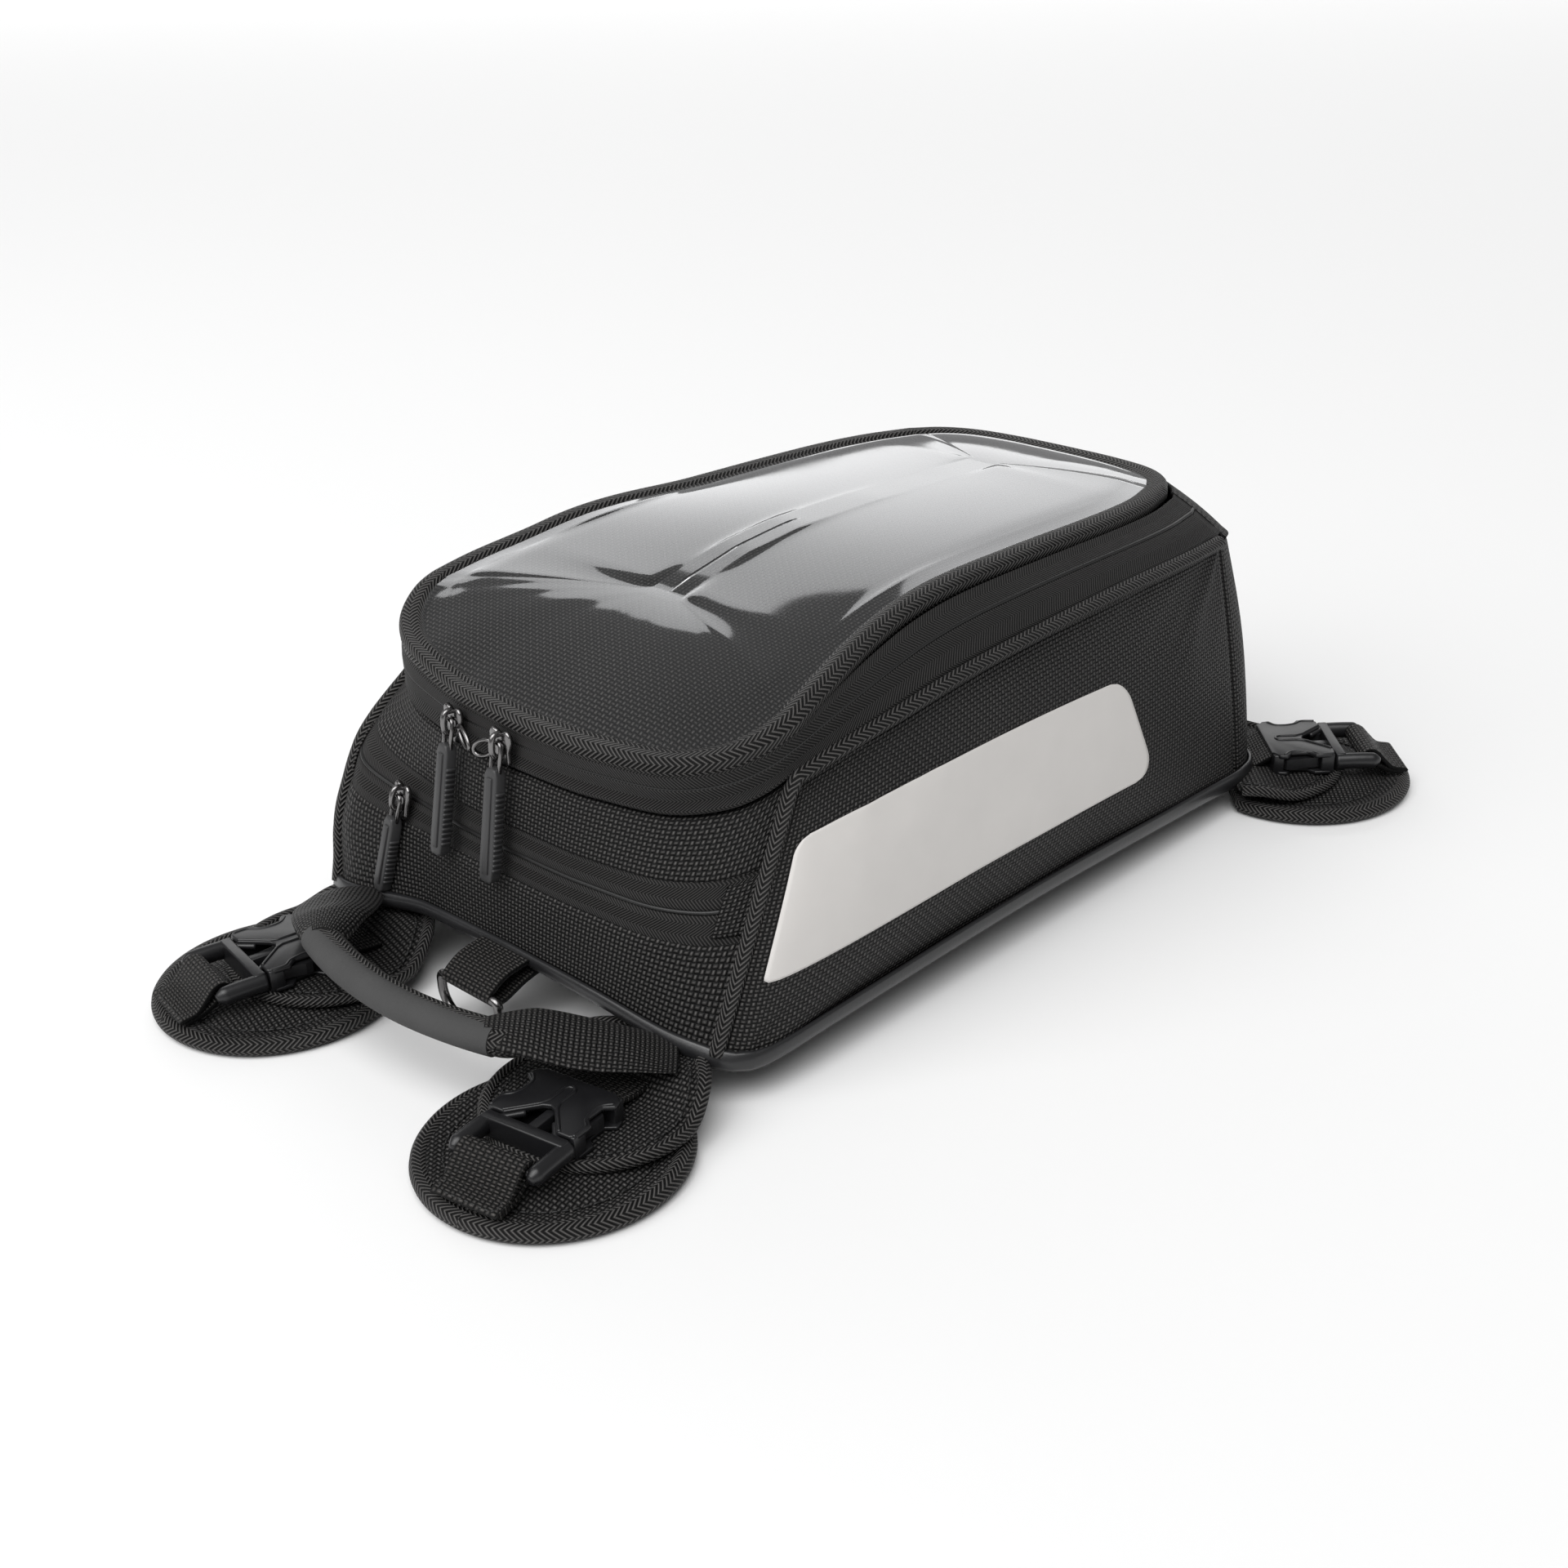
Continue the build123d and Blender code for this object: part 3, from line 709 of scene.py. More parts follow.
def lid_rim():
    """Woven binding all round the lid, about 8 mm wide, with a groove outside it."""
    section = [(-0.4, -5.2), (0.5, -4.4), (1.1, -2.8), (1.25, -1.0), (0.9, 0.5), (0.0, 1.5), (-1.6, 2.1),
               (-3.6, 2.3),
               (-5.6, 1.9), (-7.0, 1.0), (-7.9, -0.4), (-7.6, -2.2), (-4.0, -4.6), (-2.0, -5.4)]
    section = [(p.x, p.y) for p in evenly([Vector((x, z, 0)) for x, z in [*section, section[0]]], 28)][:-1]
    rows = []
    for a in spread(-3, 3, 520):
        point, out = rim_point(a), outward("rim", a)
        rows.append([point + out * x + Vector((0, 0, z)) for x, z in section])
    piece = closed_form("lid_rim_binding_look", rows)
    dress(piece, "piping_braid", "lid", ["lid_rim_binding"])


def lid_field(a, s, lift, inset=5.5):
    """The lid's surface inside the rim: s is 0 on the centre line and 1 at the rim."""
    edge = rim_point(a) - outward("rim", a) * inset
    rim_z = edge.z
    centre_y = min(max(edge.y, FRONT + 78), FRONT + 240)
    spine = spine_height(centre_y - FRONT) + 3.2
    middle = Vector((0, centre_y, spine))
    flat = middle.lerp(edge, s)
    flat.z = spine + (rim_z - spine) * s ** 2.2 + lift
    return flat


def spine_height(d):
    """Height of the rim beside a point of the centre line."""
    line = RIM_RING[1]
    for (x0, d0, z0), (x1, d1, z1) in zip(line, line[1:]):
        if d0 <= d <= d1:
            return z0 + (z1 - z0) * (d - d0) / (d1 - d0)
    return line[-1][2]


def field_grid(lift_of, columns, steps, inset=5.5):
    return [[lid_field(a, s, lift_of(a, s), inset) for a in whole_turn(columns)]
            for s in spread(0.002, 1, steps)]


def lid_top():
    """The woven lid panel and the clear window over it, a little slack."""
    rows = field_grid(lambda a, s: -1.6, 300, 60, 3.2)
    panel = plan_sheet("lid_panel_look", rows)
    close_centre(panel, 300)
    panel.data.flip_normals()
    dress(thicken(panel, 2.5), "ballistic_fabric", "lid", ["lid_panel"])

    def slack(a, s):
        point = lid_field(a, s, 0)
        ripple = wrinkle(point, 0.012, 2.2, 3.7) + wrinkle(point, 0.03, 0.25, 9.1)
        return 0.9 + (0.8 + ripple * 0.55) * min((1 - s) / 0.16, 1) ** 1.5

    rows = field_grid(slack, WINDOW_COLUMNS, 90)
    window = plan_sheet("map_window_look", rows)
    window.data.flip_normals()
    close_centre(window, WINDOW_COLUMNS, WINDOW_COLUMNS * 80, 60)
    dress(window, "clear_vinyl", "lid", ["map_window"])


def piping():
    """Woven piping up the front edge of each side panel and along its top."""
    pieces = []
    for side in (1, -1):
        path = [wall_point(side * 1.0, t, 0.4) for t in spread(0.02, 0.94, 40)]
        top = [band_point(side * a, -0.03, 0.9) for a in spread(1.0, 1.985, 200)]
        line = evenly(catmull(path[::4], 60) + [top[0]] + top[2:], 320)
        pieces.append(tube("piping", line, 2.5, 14))
    dress(joined("side_piping_look", pieces), "piping_braid", "bag", ["side_piping"])


def rounded_span(v, start, end, width, height, radii):
    """Start and end of a panel's row; radii (mm) of its corners: low and high start, low and high end."""
    cuts = []
    for low, high in ((radii[0], radii[1]), (radii[2], radii[3])):
        cut = 0.0
        for radius, gap in ((low, v * height), (high, (1 - v) * height)):
            if gap < radius:
                cut = max(cut, radius - sqrt(radius ** 2 - (radius - gap) ** 2))
        cuts.append(cut / width)
    return start + (end - start) * cuts[0], end - (end - start) * cuts[1]


def reflective():
    """A slanted light panel on each side, with rounded corners and no lettering."""
    low_front, high_front = Vector((1.030, 0.28)), Vector((1.030, 0.76))
    low_rear, high_rear = Vector((1.768, 0.25)), Vector((1.685, 0.68))
    parts = []
    for side in (1, -1):
        rows = []
        for v in spread(0, 1, 48):
            row = []
            first, last = rounded_span(v, 0, 1, 180, 42, (1.5, 5, 11, 9))
            for u in spread(first, last, 110):
                spot = low_front.lerp(low_rear, u).lerp(high_front.lerp(high_rear, u), v)
                base = on_panel(f"side_panel_{'right' if side > 0 else 'left'}_look", side * spot.x, spot.y)
                row.append(base + outward("base", side * spot.x) * 0.35)
            rows.append(row)
        mesh = sheet_mesh("film", rows)
        if side < 0:
            mesh.flip_normals()
        parts.append(thicken(link("film", mesh), 0.5))
    dress(joined("reflective_panels_look", parts), "reflective_film", "bag", ["reflective_panels"])


def under_point(a, s, lift, inset):
    """The arched underside: s is 0 on the centre line and 1 at the base's edge."""
    edge = on_ring("base", a) - outward("base", a) * inset
    middle = Vector((0, min(max(edge.y, FRONT + 60), FRONT + 240), 20.5))
    point = middle.lerp(edge, s)
    point.z = middle.z + (edge.z - middle.z) * s * s + lift
    return point


def underside():
    """The rubberised base with its lip, the board on it, and the lining's floor."""
    rows = [[under_point(a, s, -0.6, 1.0) for a in whole_turn(300)] for s in spread(0.002, 1, 30)]
    rows += [[wall_point(a, t, out) for a in whole_turn(300)]
             for t, out in ((-0.012, 0.2), (-0.004, 0.75), (0.012, 0.95), (0.034, 0.8), (0.042, 0.2))]
    base = plan_sheet("base_panel_look", rows)
    close_centre(base, 300)
    dress(thicken(base, 1.2, 1.0), "rubberised_base", "bag", ["base_panel"])
    for name, inset, lift, node, slot in (("base_board_look", 5.0, 1.4, "base_board", "board"),
                                          ("lining_floor", 4.4, 3.2, None, "lining_fabric")):
        rows = [[under_point(a, s, lift, inset) for a in whole_turn(240)] for s in spread(0.002, 1, 24)]
        piece = plan_sheet(name, rows)
        close_centre(piece, 240)
        piece.data.flip_normals()
        dress(thicken(piece, 1.2), slot, "bag", [node] if node else [])


def inner_walls():
    """The lining of the walls and the wall behind the front pocket."""
    rows = [[wall_point(a, t, -3.2) for a in whole_turn(300)] for t in spread(0.03, 0.985, 30)]
    lining = link("lining_look", sheet_mesh("lining", rows, True))
    dress(thicken(lining, 0.8), "lining_fabric", "bag", ["lining"])
    rows = []
    for t in spread(0.06, 0.9, 16):
        beside = [wall_point(a, t, -4.5) for a in spread(0.7, 1.4, 60)]
        edge = min(beside, key=lambda p: abs(p.y - FRONT - DIVIDER_DEPTH))
        crest = 2 if t > 0.8 else 0
        rows.append([Vector((edge.x * u, FRONT + DIVIDER_DEPTH - 1.5 * (1 - u * u),
                             edge.z + crest * (1 - u * u))) for u in spread(-1, 1, 60)])
    divider = link("pocket_divider_look", sheet_mesh("divider", rows))
    dress(thicken(divider, 1.2), "lining_fabric", "bag", ["pocket_divider"])


# ---------------------------------------------------------------- sliders, pulls, handle, ring

def pivot_frame(joint_name):
    """Frame of a hanging pull: x along the zip, y into the bag, z up, from its own joint."""
    joint = next(j for j in frame["joints"] if j["name"] == joint_name)
    right = -Vector(joint["axis"])
    inward = Vector((0, 0, 1)).cross(right)
    turn = Matrix((right, inward, Vector((0, 0, 1)))).transposed().to_4x4()
    return Matrix.Translation(Vector(joint["pos_m"])) @ turn


def placed(piece, matrix):
    piece.data.transform(matrix)
    return piece


def extruded(name, outline, low, high, bevel=0.4, axis="z", segments=2):
    """A solid from a flat outline (mm); axis says which way it is extruded."""
    work = bmesh.new()
    shape = {"z": lambda p, h: (p[0], p[1], h), "y": lambda p, h: (p[0], h, p[1])}[axis]
    face = work.faces.new([work.verts.new([c * MM for c in shape(p, low)]) for p in outline])
    grown = bmesh.ops.extrude_face_region(work, geom=[face])
    shift = Vector(shape((0, 0), high - low)) * MM
    lifted = [v for v in grown["geom"] if isinstance(v, bmesh.types.BMVert)]
    bmesh.ops.translate(work, vec=shift, verts=lifted)
    bmesh.ops.recalc_face_normals(work, faces=work.faces)
    mesh = bpy.data.meshes.new(name)
    work.to_mesh(mesh)
    work.free()
    return bevelled(link(name, mesh), bevel, segments)


def block(name, x, y, z, bevel=0.4, segments=2):
    """A bevelled block between two x, two y and two z values (mm)."""
    outline = [(x[0], y[0]), (x[1], y[0]), (x[1], y[1]), (x[0], y[1])]
    return extruded(name, outline, z[0], z[1], bevel, "z", segments)


def mirror_outline(half):
    """A closed outline from its right half, listed from bottom to top."""
    return half + [(-x, z) for x, z in half[::-1] if x > 0.01]


def zip_slider(eyelet_side):
    """Plate with two shoulders, an arched bail and an oval eyelet towards the other slider."""
    half_outline = [(0, -8.2), (2.4, -7.8), (3.9, -6.2), (4.0, -2.2), (5.3, 0.6), (5.1, 3.4),
                    (3.6, 4.9), (1.5, 4.3), (0, 2.8)]
    parts = [extruded("plate", mirror_outline(half_outline), 1.1, 2.9, 0.6, "y")]
    bail = catmull([(0, 1.8, 3.4), (0, -0.9, 3.2), (0, -2.0, 0.4), (0, -1.6, -3.2), (0, 1.6, -5.2)], 24)
    parts.append(tube("bail", bail, 1.05, 12, 1.0, Vector((1, 0, 0))))
    parts.append(block("web", (-0.9, 0.9), (2.6, 7.6), (-0.3, 0.3), 0.1))
    parts.append(block("inner", (-2.8, 2.8), (6.2, 7.2), (-6.2, 0.8), 0.3))
    if eyelet_side:
        oval = [Vector((eyelet_side * (7.6 + 4.4 * cos(angle)), 0.6 - 0.9 * cos(angle),
                        -3.6 + 2.7 * sin(angle) - 1.6 * cos(angle))) for angle in circle(40)]
        parts.append(tube("eyelet", oval, 0.75, 10, 1.0, Vector((0, 1, 0)), True))
    return joined("slider", parts)


def zip_pull(length):
    """Wire link and a long moulded grip with a ridge and fine ribs."""
    loop = [Vector(p) for p in ((-1.5, 0, 0.5), (1.5, 0, 0.5), (2.1, 0, -0.6), (2.1, 0, -8.8), (1.2, 0, -9.6),
                                (-1.2, 0, -9.6), (-2.1, 0, -8.8), (-2.1, 0, -0.6))]
    link_ring = tube("link", loop, 0.72, 10, 1.0, Vector((0, 1, 0)), True)
    top, low = -7.6, -8.0 - length
    outline = [(-3.0, low + 1.2), (-2.0, low), (2.0, low), (3.0, low + 1.2), (3.4, low + 6), (3.1, top - 2.4),
               (1.9, top), (-1.9, top), (-3.1, top - 2.4), (-3.4, low + 6)]
    parts = [extruded("grip", outline, -2.1, 2.1, 0.7, "y", 3)]
    crest = [(-1.5, low + 3), (1.5, low + 3), (1.3, top - 3), (-1.3, top - 3)]
    parts.append(extruded("ridge", crest, -2.75, -1.5, 0.35, "y"))
    for k in range(int((length - 10) / 1.7)):
        z = low + 4.5 + 1.7 * k
        parts.append(block("rib", (2.6, 3.95), (-1.9, 1.6), (z, z + 0.85), 0.22, 1))
    return link_ring, joined("grip", parts)


POCKET_SWING, POCKET_SLIDER_TURN = 8, -9      # degrees that the pocket's pull and slider turn


def hardware():
    for name, eyelet, lean, length in (("lid_{}_left", 1, 11.0, 38.0), ("lid_{}_right", -1, 10.0, 38.0),
                                       ("pocket_{}", 0, 12.5, 28.0)):
        pull_name, slider_name = name.format("pull"), name.format("slider")
        spot = pivot_frame(f"{pull_name}_lift")
        if name.startswith("pocket"):
            spot = Matrix.Translation(slump(-0.62, 0.55) * MM) @ spot
        turned = radians(0 if eyelet else POCKET_SLIDER_TURN)
        body = placed(zip_slider(eyelet), spot @ Matrix.Rotation(turned, 4, "X"))
        body.name = f"{slider_name}_look"
        dress(body, "black_nickel", slider_name, [slider_name])
        wire, grip = zip_pull(length)
        swing = POCKET_SWING if name.startswith("pocket") else 0
        hang = spot @ Matrix.Rotation(radians(-lean), 4, "X") @ Matrix.Rotation(radians(swing), 4, "Y")
        wire.name, grip.name = f"{pull_name}_link", f"{pull_name}_grip"
        dress(placed(wire, hang), "black_nickel", pull_name)
        dress(placed(grip, hang), "pull_rubber", pull_name, [pull_name])


def handle():
    """Woven tube that bows away from the bag, with a leaf-shaped folded end each side."""
    x_end, y_end, z_end = 46, FRONT - 41, 29.5
    line = catmull([(-x_end - 4, y_end + 4.5, z_end - 0.5), (-x_end, y_end, z_end),
                    (-24, y_end - 5.2, z_end - 0.6), (0, y_end - 7, z_end - 1),
                    (24, y_end - 5.2, z_end - 0.6), (x_end, y_end, z_end),
                    (x_end + 4, y_end + 4.5, z_end - 0.5)], 120)
    cover = tube("handle_cover_look", line, 6.2, 24, 0.84)
    dress(cover, "piping_braid", "handle", ["handle_cover"])
    stations = [  # share of the run, half width outwards and towards the bag, thickness, rise
        (0.00, 5.9, 5.9, 5.4, 0.3), (0.05, 7.6, 7.2, 5.9, 0.5), (0.18, 11.2, 10.2, 5.8, 1.6),
        (0.36, 14.4, 12.6, 5.0, 2.8), (0.55, 15.4, 13.2, 3.8, 2.6), (0.74, 13.4, 12.6, 2.6, 1.2),
        (0.90, 9.6, 11.0, 1.8, 0.2), (1.04, 5.6, 8.8, 1.3, 0.0)]
    parts = []
    for side in (1, -1):
        start = Vector((x_end - 5, y_end - 2.5, z_end))
        finish = Vector((79 if side > 0 else 82, FRONT - 3.5, 17.5))
        run = finish - start
        across = Vector((run.y, -run.x, 0)).normalized()
        rise = across.cross(run).normalized()
        rise = rise if rise.z > 0 else -rise
        smooth = catmull([(share, out, back) for share, out, back, _, _ in stations], 44)
        heights = catmull([(share, thick, lift) for share, _, _, thick, lift in stations], 44)
        rows = []
        for (share, out, back), (_, thick, lift) in zip(smooth, heights):
            centre = start + run * share + rise * lift
            line = []
            for angle in circle(36):
                wide = cos(angle)
                reach = out if wide > 0 else back
                crest = abs(sin(angle)) ** (1.0 + 0.9 * share)
                high = (1 if sin(angle) > 0 else -1) * crest * thick * (1.0 if sin(angle) > 0 else 0.6)
                point = centre + across * (reach * wide) + rise * high
                crease = wrinkle(point, 0.05, 1.3, 4.0) * min(share * 4, 1)
                point += rise * crease
                line.append(Vector((point.x * side, point.y, point.z)))
            rows.append(line)
        parts.append(closed_form("end", rows))
    dress(joined("handle_ends_look", parts), "ballistic_fabric", "handle", ["handle_ends"])


def band(name, path, width, thickness, across, slot, body, nodes=()):
    """A strip of webbing along a path."""
    rows = []
    for u in spread(-0.5, 0.5, 12):
        rows.append([p + across * (u * width) for p in path])
    piece = link(name, sheet_mesh(name, rows))
    modifier = piece.modifiers.new("edge", "SOLIDIFY")
    modifier.thickness = thickness * MM
    modifier.offset = 0
    apply_modifiers(piece)
    return dress(bevelled(piece, 0.35, 2), slot, body, nodes)


def ring_loop():
    """The folded loop of webbing that carries the D-ring."""
    bar_y = FRONT - 16
    path = catmull([(0, FRONT + 5, 25), (0, FRONT - 3, 24.8), (0, bar_y + 5, 23.6), (0, bar_y, 21.1),
                    (0, bar_y - 2.7, 18.4), (0, bar_y - 0.6, 15.4), (0, bar_y + 4, 15.6),
                    (0, FRONT - 4, 18.6), (0, FRONT + 5, 20.5)], 90)
    band("ring_webbing_look", path, 24, 1.5, Vector((1, 0, 0)), "webbing", "bag", ["ring_webbing"])
    coat_node("d_ring", "black_nickel")


# ---------------------------------------------------------------- the four corners

# pad centre's x, distance behind the front and angle; the same of the fold line; lift at the fold
CORNER = {
    "front": ((71.0, -44.0, -80.0), (69.0, -0.5, -90.0), 6.5),
    "rear": ((101.0, 318.0, 45.0), (89.6, 294.6, 45.0), 3.2),
}
PAD_R = 42.0
FLAP_R = 34.5
FLAP_BACK = 20.0
BAR_U, BAR_Z = 23.5, 14.25
STRAP_HALF = 12.2         # half the width of the corner webbing


def stitches(name, path, spacing, radius=0.34, length=0.62):
    """Short raised stitches along a path."""
    total = lengths_of(path)[-1]
    spots = evenly([Vector(p) for p in path], max(int(total / spacing), 2))
    parts = []
    for a, b in zip(spots, spots[1:]):
        ahead = (b - a) * length
        middle = (a + b) / 2
        run = [middle - ahead / 2 - Vector((0, 0, 0.35)), middle - ahead * 0.3, middle + ahead * 0.3,
               middle + ahead / 2 - Vector((0, 0, 0.35))]
        parts.append(tube("stitch", run, radius, 6))
    return joined(name, parts)


def outline_radius(angle, full, fold_distance, fold_turn, tuck):
    """Radius of a round pad or flap whose inner side is cut straight under the bag."""
    away = angle - (pi + fold_turn)
    if cos(away) <= 0:
        return full
    return min(full, (fold_distance + tuck) / max(cos(away), 0.05))


def disc(centre, radius_of, heights, sides=120):
    """Closed round form: heights are (share of the radius, z), from the top's middle to the bottom's."""
    rows = []
    for share, z in heights:
        line = []
        for angle in circle(sides):
            r = max(radius_of(angle) * share, 0.02)
            line.append(Vector((centre[0] + r * cos(angle), centre[1] + r * sin(angle), z)))
        rows.append(line)
    return rows


def profile(points, steps):
    """(share, z) pairs along a smooth line."""
    return [(p.x, p.y * 50) for p in catmull([(x, z / 50, 0) for x, z in points], steps)]


def corner(end, side, label):
    (px, pd, pad_angle), (fx, fd, fold_angle), lift = CORNER[end]
    tag = f"{end}_{label}"
    where = Matrix.Translation((px * MM, (FRONT + pd) * MM, 0)) @ Matrix.Rotation(radians(pad_angle), 4, "Z")
    if side < 0:
        where = Matrix.Scale(-1, 4, (1, 0, 0)) @ where
    fold_turn = radians(fold_angle - pad_angle)
    out = Vector((cos(radians(fold_angle)), sin(radians(fold_angle)), 0))
    fold_distance = (Vector((px, pd, 0)) - Vector((fx, fd, 0))).dot(out)

    def put(piece, slot, body, nodes=(), material=None):
        piece.data.transform(where)
        if side < 0:
            piece.data.flip_normals()
        return dress(piece, slot, body, nodes, material)

    def pad_radius(angle):
        return outline_radius(angle, PAD_R, fold_distance, fold_turn, 6.0)

    heights = profile(
        [(0, 7.3), (0.30, 7.2), (0.52, 6.6), (0.64, 5.7), (0.72, 5.1), (0.765, 4.5), (0.80, 5.1),
         (0.88, 5.5), (0.95, 4.8), (0.985, 3.0), (0.96, 1.0), (0.90, 0.3), (0.5, 0.15), (0, 0.15)], 60)
    rows = disc((0, 0), pad_radius, heights)
    for line in rows[:40]:
        for point in line:
            point.z += wrinkle((point.x + px, point.y + side * 90, 0), 0.045, 0.8, 2.0) * min(point.z / 4, 1)
    shell = close_ends(plan_sheet(f"pad_{tag}_look", rows))
    put(shell, "ballistic_fabric", f"pad_{tag}", [f"pad_{tag}"])
    ring_path = []
    for angle in circle(150):
        r = pad_radius(angle) - 3.1
        ring_path.append(Vector((r * cos(angle), r * sin(angle), 3.1)))
    binding = tube(f"pad_{tag}_binding", ring_path, 3.3, 16, 0.86, Vector((0, 0, 1)), True)
    put(binding, "piping_braid", f"pad_{tag}")
    seam = []
    for k in range(121):
        angle = 2 * pi * k / 120
        r = pad_radius(angle) * 0.765
        seam.append(Vector((r * cos(angle), r * sin(angle), 4.9)))
    put(stitches(f"pad_{tag}_stitching", seam, 3.0), "piping_braid", f"pad_{tag}", material=THREAD)

    flap_distance = fold_distance - FLAP_BACK * cos(fold_turn)

    def flap_radius(angle):
        return outline_radius(angle, FLAP_R, flap_distance, fold_turn, 7.0)

    def flap_height(point):
        gap = point.dot(Vector((cos(fold_turn), sin(fold_turn), 0))) + fold_distance
        rise = 1 - min(max(gap / 17, 0), 1)
        return lift * rise * rise * (3 - 2 * rise)

    heights = profile(
        [(0, 9.9), (0.5, 9.8), (0.78, 9.5), (0.86, 9.0), (0.93, 9.3), (0.97, 8.7), (0.96, 7.6),
         (0.86, 7.0), (0.5, 7.4), (0, 7.4)], 50)
    rows = disc((-FLAP_BACK, 0), flap_radius, heights)
    for line in rows:
        for point in line:
            point.z += flap_height(point) + wrinkle((point.x + px, point.y + side * 70, 3), 0.05, 0.7, 5.0)
    flap = close_ends(plan_sheet(f"flap_{tag}_look", rows))
    edge = []
    for k in range(161):
        angle = -pi + 2 * pi * k / 160 + fold_turn
        r = flap_radius(angle)
        if r > FLAP_R - 0.01:
            point = Vector((-FLAP_BACK + (r - 1.4) * cos(angle), (r - 1.4) * sin(angle), 8.6))
            point.z += flap_height(point)
            edge.append(point)
    binding = tube(f"flap_{tag}_piping", edge, 2.1, 14)
    line = []
    for point in edge:
        inward = Vector((-FLAP_BACK, 0, point.z)) - point
        line.append(point + inward.normalized() * 4.2 + Vector((0, 0, 0.9)))
    seam = stitches(f"flap_{tag}_stitching", line, 3.0)
    for piece, slot, nodes, material in ((flap, "ballistic_fabric", [f"flap_{tag}"], None),
                                         (binding, "piping_braid", [], None),
                                         (seam, "piping_braid", [], THREAD)):
        piece.data.transform(where)
        if side < 0:
            piece.data.flip_normals()
        piece.data.materials.clear()
        piece.data.materials.append(material or LOOK[slot])
        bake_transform(piece)
        if nodes:
            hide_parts(*nodes)
    buckle(put, tag)
    strap(put, tag)


def buckle(put, tag):
    """Side-release buckle: hollow female half with a raised Y rib, male half with two rails and a bar."""
    half_plate = [(-15, 0), (-15, 13.0), (-12.6, 16.2), (-9.6, 16.8), (-7.6, 13.6), (-1.2, 13.4), (1.4, 16.6),
                  (7.2, 16.3), (9.0, 14.6), (9.0, 9.6), (0.6, 2.2), (-0.4, 0)]
    plate = half_plate + [(u, -v) for u, v in half_plate[::-1] if v > 0.01]
    parts = [extruded("top", plate, 16.9, 18.6, 0.55, "z", 3), extruded("low", plate, 10, 11.4, 0.4)]
    for v in (1, -1):
        parts.append(block("collar", (3.6, 8.8), tuple(sorted((v * 13.9, v * 16.2))), (10.4, 18.2), 0.5))
    parts.append(block("inner_end", (-14.8, -10.6), (-15.6, 15.6), (10.3, 18.2), 0.6))
    rib = [(8.6, 10.6), (0.2, 3.0), (-2.2, 1.9), (-9.0, 1.9), (-10.4, 1.2), (-10.8, 0)]
    rib = rib + [(u, -v) for u, v in rib[-2::-1]]
    parts.append(tube("rib", evenly([Vector((u, v, 18.5)) for u, v in rib], 90), 0.62, 10))
    for v in (1, -1):
        side_rib = catmull([(8.2, v * 15.4, 18.3), (3.0, v * 15.6, 18.3), (0.2, v * 13.4, 18.3),
                            (-4.4, v * 12.2, 18.3), (-8.0, v * 12.8, 18.3), (-10.6, v * 15.4, 18.3)], 40)
        parts.append(tube("rib", side_rib, 0.6, 10))
    put(joined(f"buckle_female_{tag}_look", parts), "buckle_plastic", f"flap_{tag}", [f"buckle_female_{tag}"])
    parts = [block("base", (9.5, 13.4), (-15.2, 15.2), (10.6, 18.0), 0.7, 3),
             block("guide", (-6.5, 10.5), (-1.7, 1.7), (12.0, 16.4), 0.4)]
    for v in (1, -1):
        rail = [Vector((9.8, v * 14.4, 14.4)), Vector((18, v * 14.5, 14.5)), Vector((24.5, v * 14.5, 14.3)),
                Vector((26.6, v * 14.4, 13.9))]
        parts.append(tube("rail", catmull(rail, 24), rail_radius, 16, 1.2))
        arm = catmull([(12.6, v * 13.0, 16.6), (9.5, v * 10.0, 16.6), (4.4, v * 5.6, 16.6)], 16)
        parts.append(tube("arm", arm, 1.1, 10))
    parts.append(tube("bar", [Vector((BAR_U, v, BAR_Z)) for v in spread(-13.6, 13.6, 8)], 1.75, 14, 0.8))
    put(joined(f"buckle_male_{tag}_look", parts), "buckle_plastic", f"pad_{tag}", [f"buckle_male_{tag}"])
    for kind in ("in", "out"):
        coat_node(f"buckle_prong_{kind}_{tag}", "buckle_plastic")
    coat_node(f"pad_magnet_{tag}", "magnet_steel")


def rail_radius(share):
    """A rail of the male half: even, with a tapered end."""
    return 2.7 * (1 - 0.9 * max(share - 0.86, 0) / 0.14 * 0.6)


def strap_band(name, path, thickness, edge):
    """A strip of corner webbing along a path in the pad's own frame."""
    rows = [[p + Vector((0, v, 0)) for p in path] for v in spread(-STRAP_HALF, STRAP_HALF, 16)]
    return bevelled(thicken(link(name, sheet_mesh(name, rows)), thickness, 0), edge, 2)


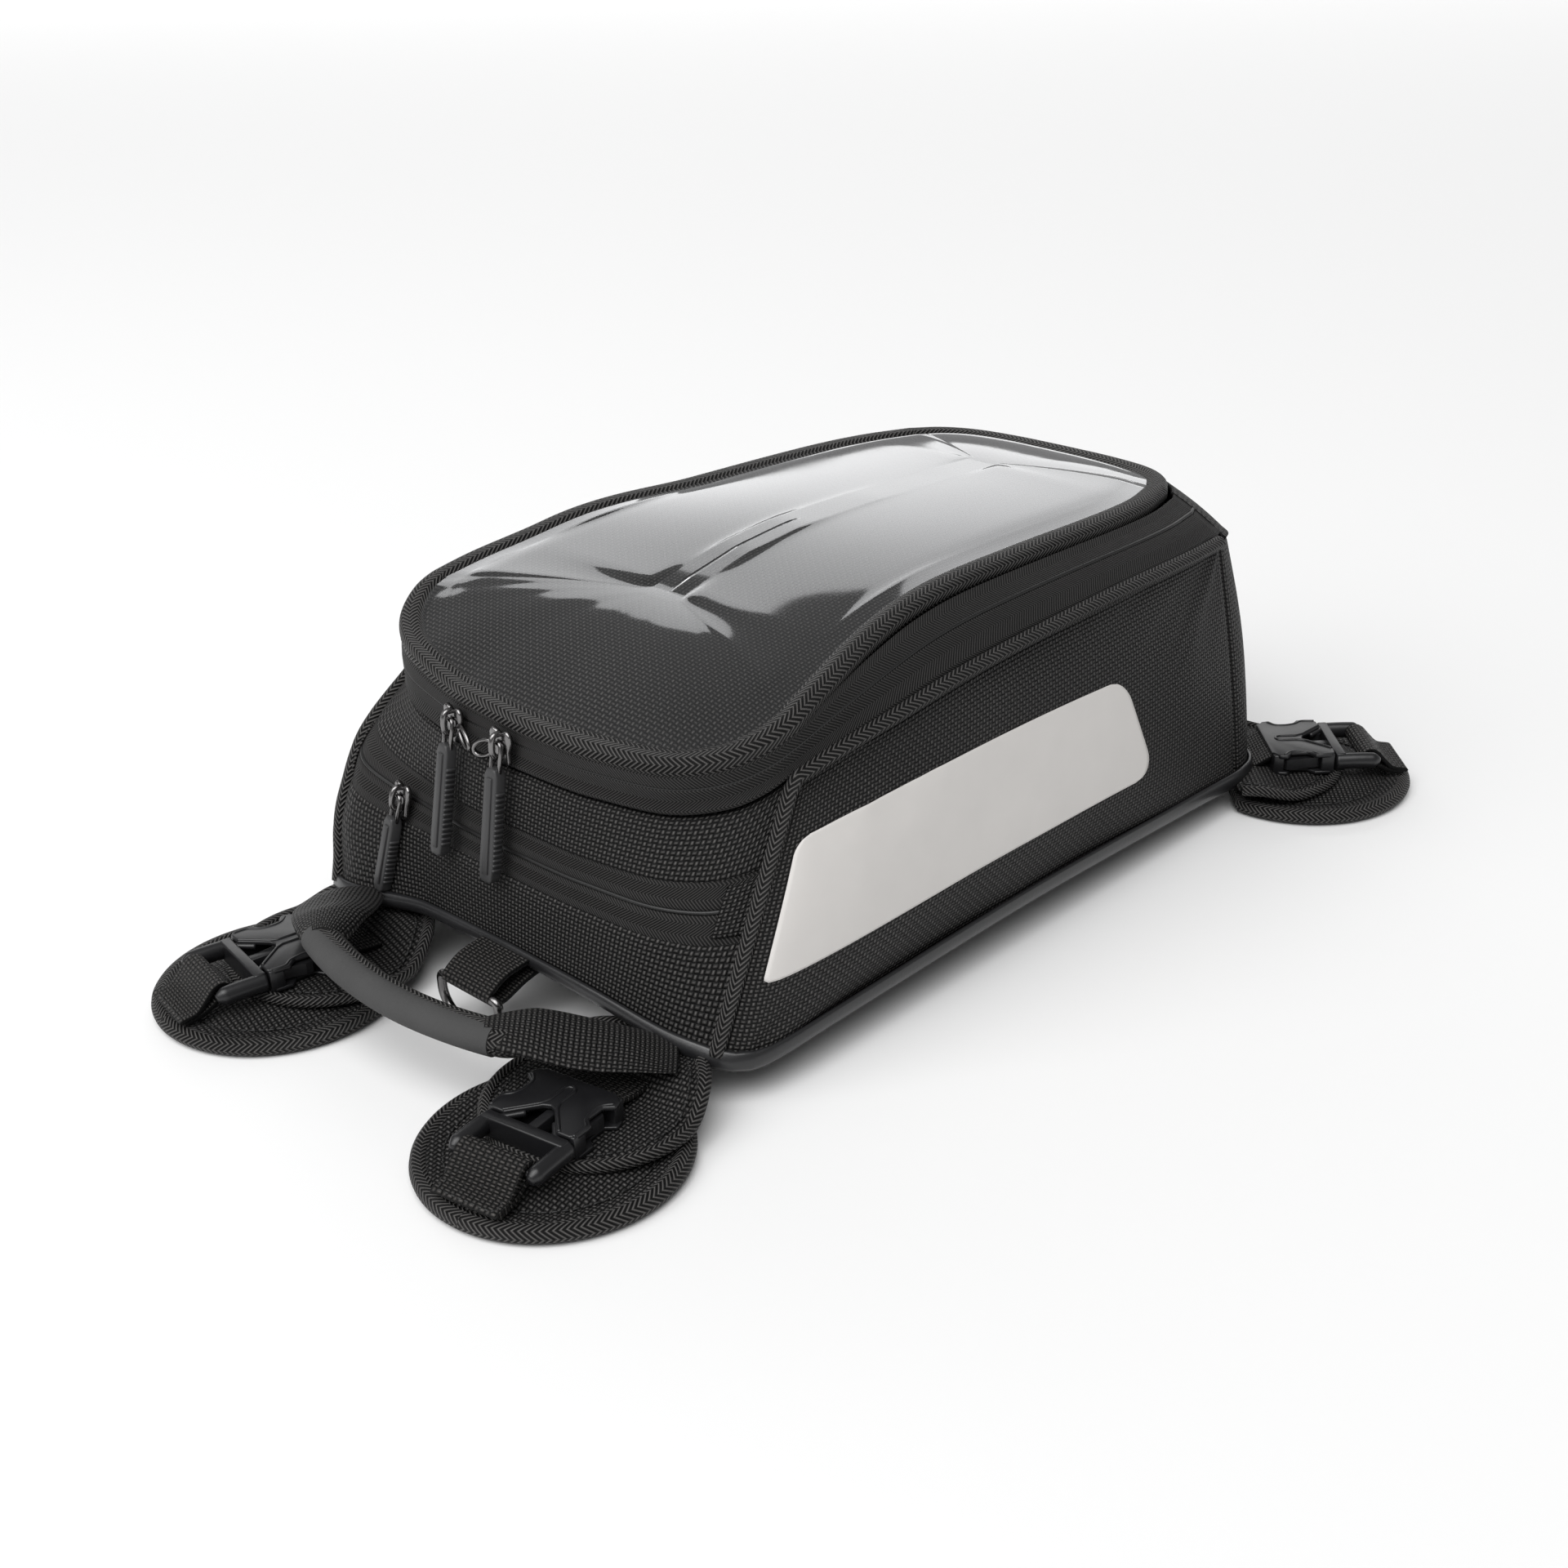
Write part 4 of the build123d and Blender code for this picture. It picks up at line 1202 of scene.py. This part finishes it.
def strap(put, tag):
    """Webbing over the male half's bar and down to the pad, and the short strap of the female half."""
    over = [(37.5, 7.6), (33, 8.2), (28.5, 10.0), (25.2, 11.9), (22.2, 12.2), (20.9, 14.2), (21.9, 16.5),
            (24.2, 17.2), (26.6, 16.1), (29.4, 13.0), (33.0, 9.6), (37.8, 8.6), (38.6, 8.0)]
    path = catmull([(u, 0, z) for u, z in over], 110)
    put(strap_band(f"pad_strap_{tag}_look", path, 1.5, 0.35), "webbing", f"pad_{tag}", [f"pad_strap_{tag}"])
    sewn = [(-33, 0, 11.6), (-26, 0, 11.8)] if tag.startswith("front") else [(-24, 0, 11.8), (-22, 0, 12.2)]
    path = catmull([*sewn, (-20, 0, 12.8), (-16, 0, 15.2), (-13.2, 0, 16.3),
                    (-11.2, 0, 14.6), (-12.6, 0, 12.6)], 70)
    put(strap_band(f"flap_{tag}_strap", path, 1.4, 0.3), "webbing", f"flap_{tag}")
    box = [(38, -10.6), (38, 10.6), (33.4, 10.6), (33.4, -10.6), (38, -10.6)]
    put(stitches(f"pad_strap_{tag}_stitching", [Vector((u, v, 9.9 if u < 35 else 9.2)) for u, v in box], 2.4),
        "webbing", f"pad_{tag}", material=THREAD)


# ---------------------------------------------------------------- stage

def studio():
    """Pale floor, a dim white world, soft key light, a bright card behind the bag for the window, and a soft
    sun.
    """
    look = Shading("floor_look")
    look.shader["Base Color"].default_value = (0.86, 0.86, 0.86, 1)
    look.shader["Roughness"].default_value = 0.9
    bpy.ops.mesh.primitive_circle_add(vertices=96, radius=9, fill_type="NGON", location=(0, 0, 0))
    floor = bpy.context.object
    floor.name = "floor"
    floor.data.materials.append(look.material)
    world = bpy.data.worlds.new("studio")
    bpy.context.scene.world = world
    world.use_nodes = True
    world.node_tree.nodes["Background"].inputs[0].default_value = (1, 1, 1, 1)
    world.node_tree.nodes["Background"].inputs[1].default_value = 0.25
    area_light("key", (-0.35, -1.55, 1.45), (0, 0, 0.05), 1.8, 1.5, 22)
    area_light("window_card", (-3.9, 3.9, 2.45), (0, 0, 0.1), 9.0, 3.1, 110)
    sun = bpy.data.objects.new("sky", bpy.data.lights.new("sky", "SUN"))
    sun.data.energy = 2.05
    sun.data.angle = radians(50)
    sun.rotation_euler = (radians(24), radians(18), 0)
    bpy.context.collection.objects.link(sun)


def area_light(name, place, target, width, height, power):
    light = bpy.data.lights.new(name, "AREA")
    light.shape = "RECTANGLE"
    light.size, light.size_y, light.energy = width, height, power
    piece = bpy.data.objects.new(name, light)
    piece.location = place
    piece.rotation_euler = (Vector(target) - Vector(place)).to_track_quat("-Z", "Y").to_euler()
    piece.visible_camera = False
    bpy.context.collection.objects.link(piece)


def camera():
    piece = bpy.data.objects.new("camera", bpy.data.cameras.new("camera"))
    place, target = Vector((469.5, -481.3, 357.9)) * MM, Vector((-2.74, -3.71, 34.41)) * MM
    piece.location = place
    piece.rotation_mode = "QUATERNION"
    roll = Matrix.Rotation(radians(-1.91), 3, "Z").to_quaternion()
    piece.rotation_quaternion = (target - place).to_track_quat("-Z", "Y") @ roll
    piece.data.lens, piece.data.sensor_width = 46.97, 36
    bpy.context.collection.objects.link(piece)
    bpy.context.scene.camera = piece


camera()
studio()
walls()
pocket_zip()
lid_zip()
hinge_strip()
lid_rim()
lid_top()
piping()
reflective()
underside()
inner_walls()
hardware()
handle()
ring_loop()
for end_name in ("front", "rear"):
    corner(end_name, 1, "right")
    corner(end_name, -1, "left")
coat_node("handle_core", "foam_core")
bpy.context.scene.view_settings.view_transform = "Standard"
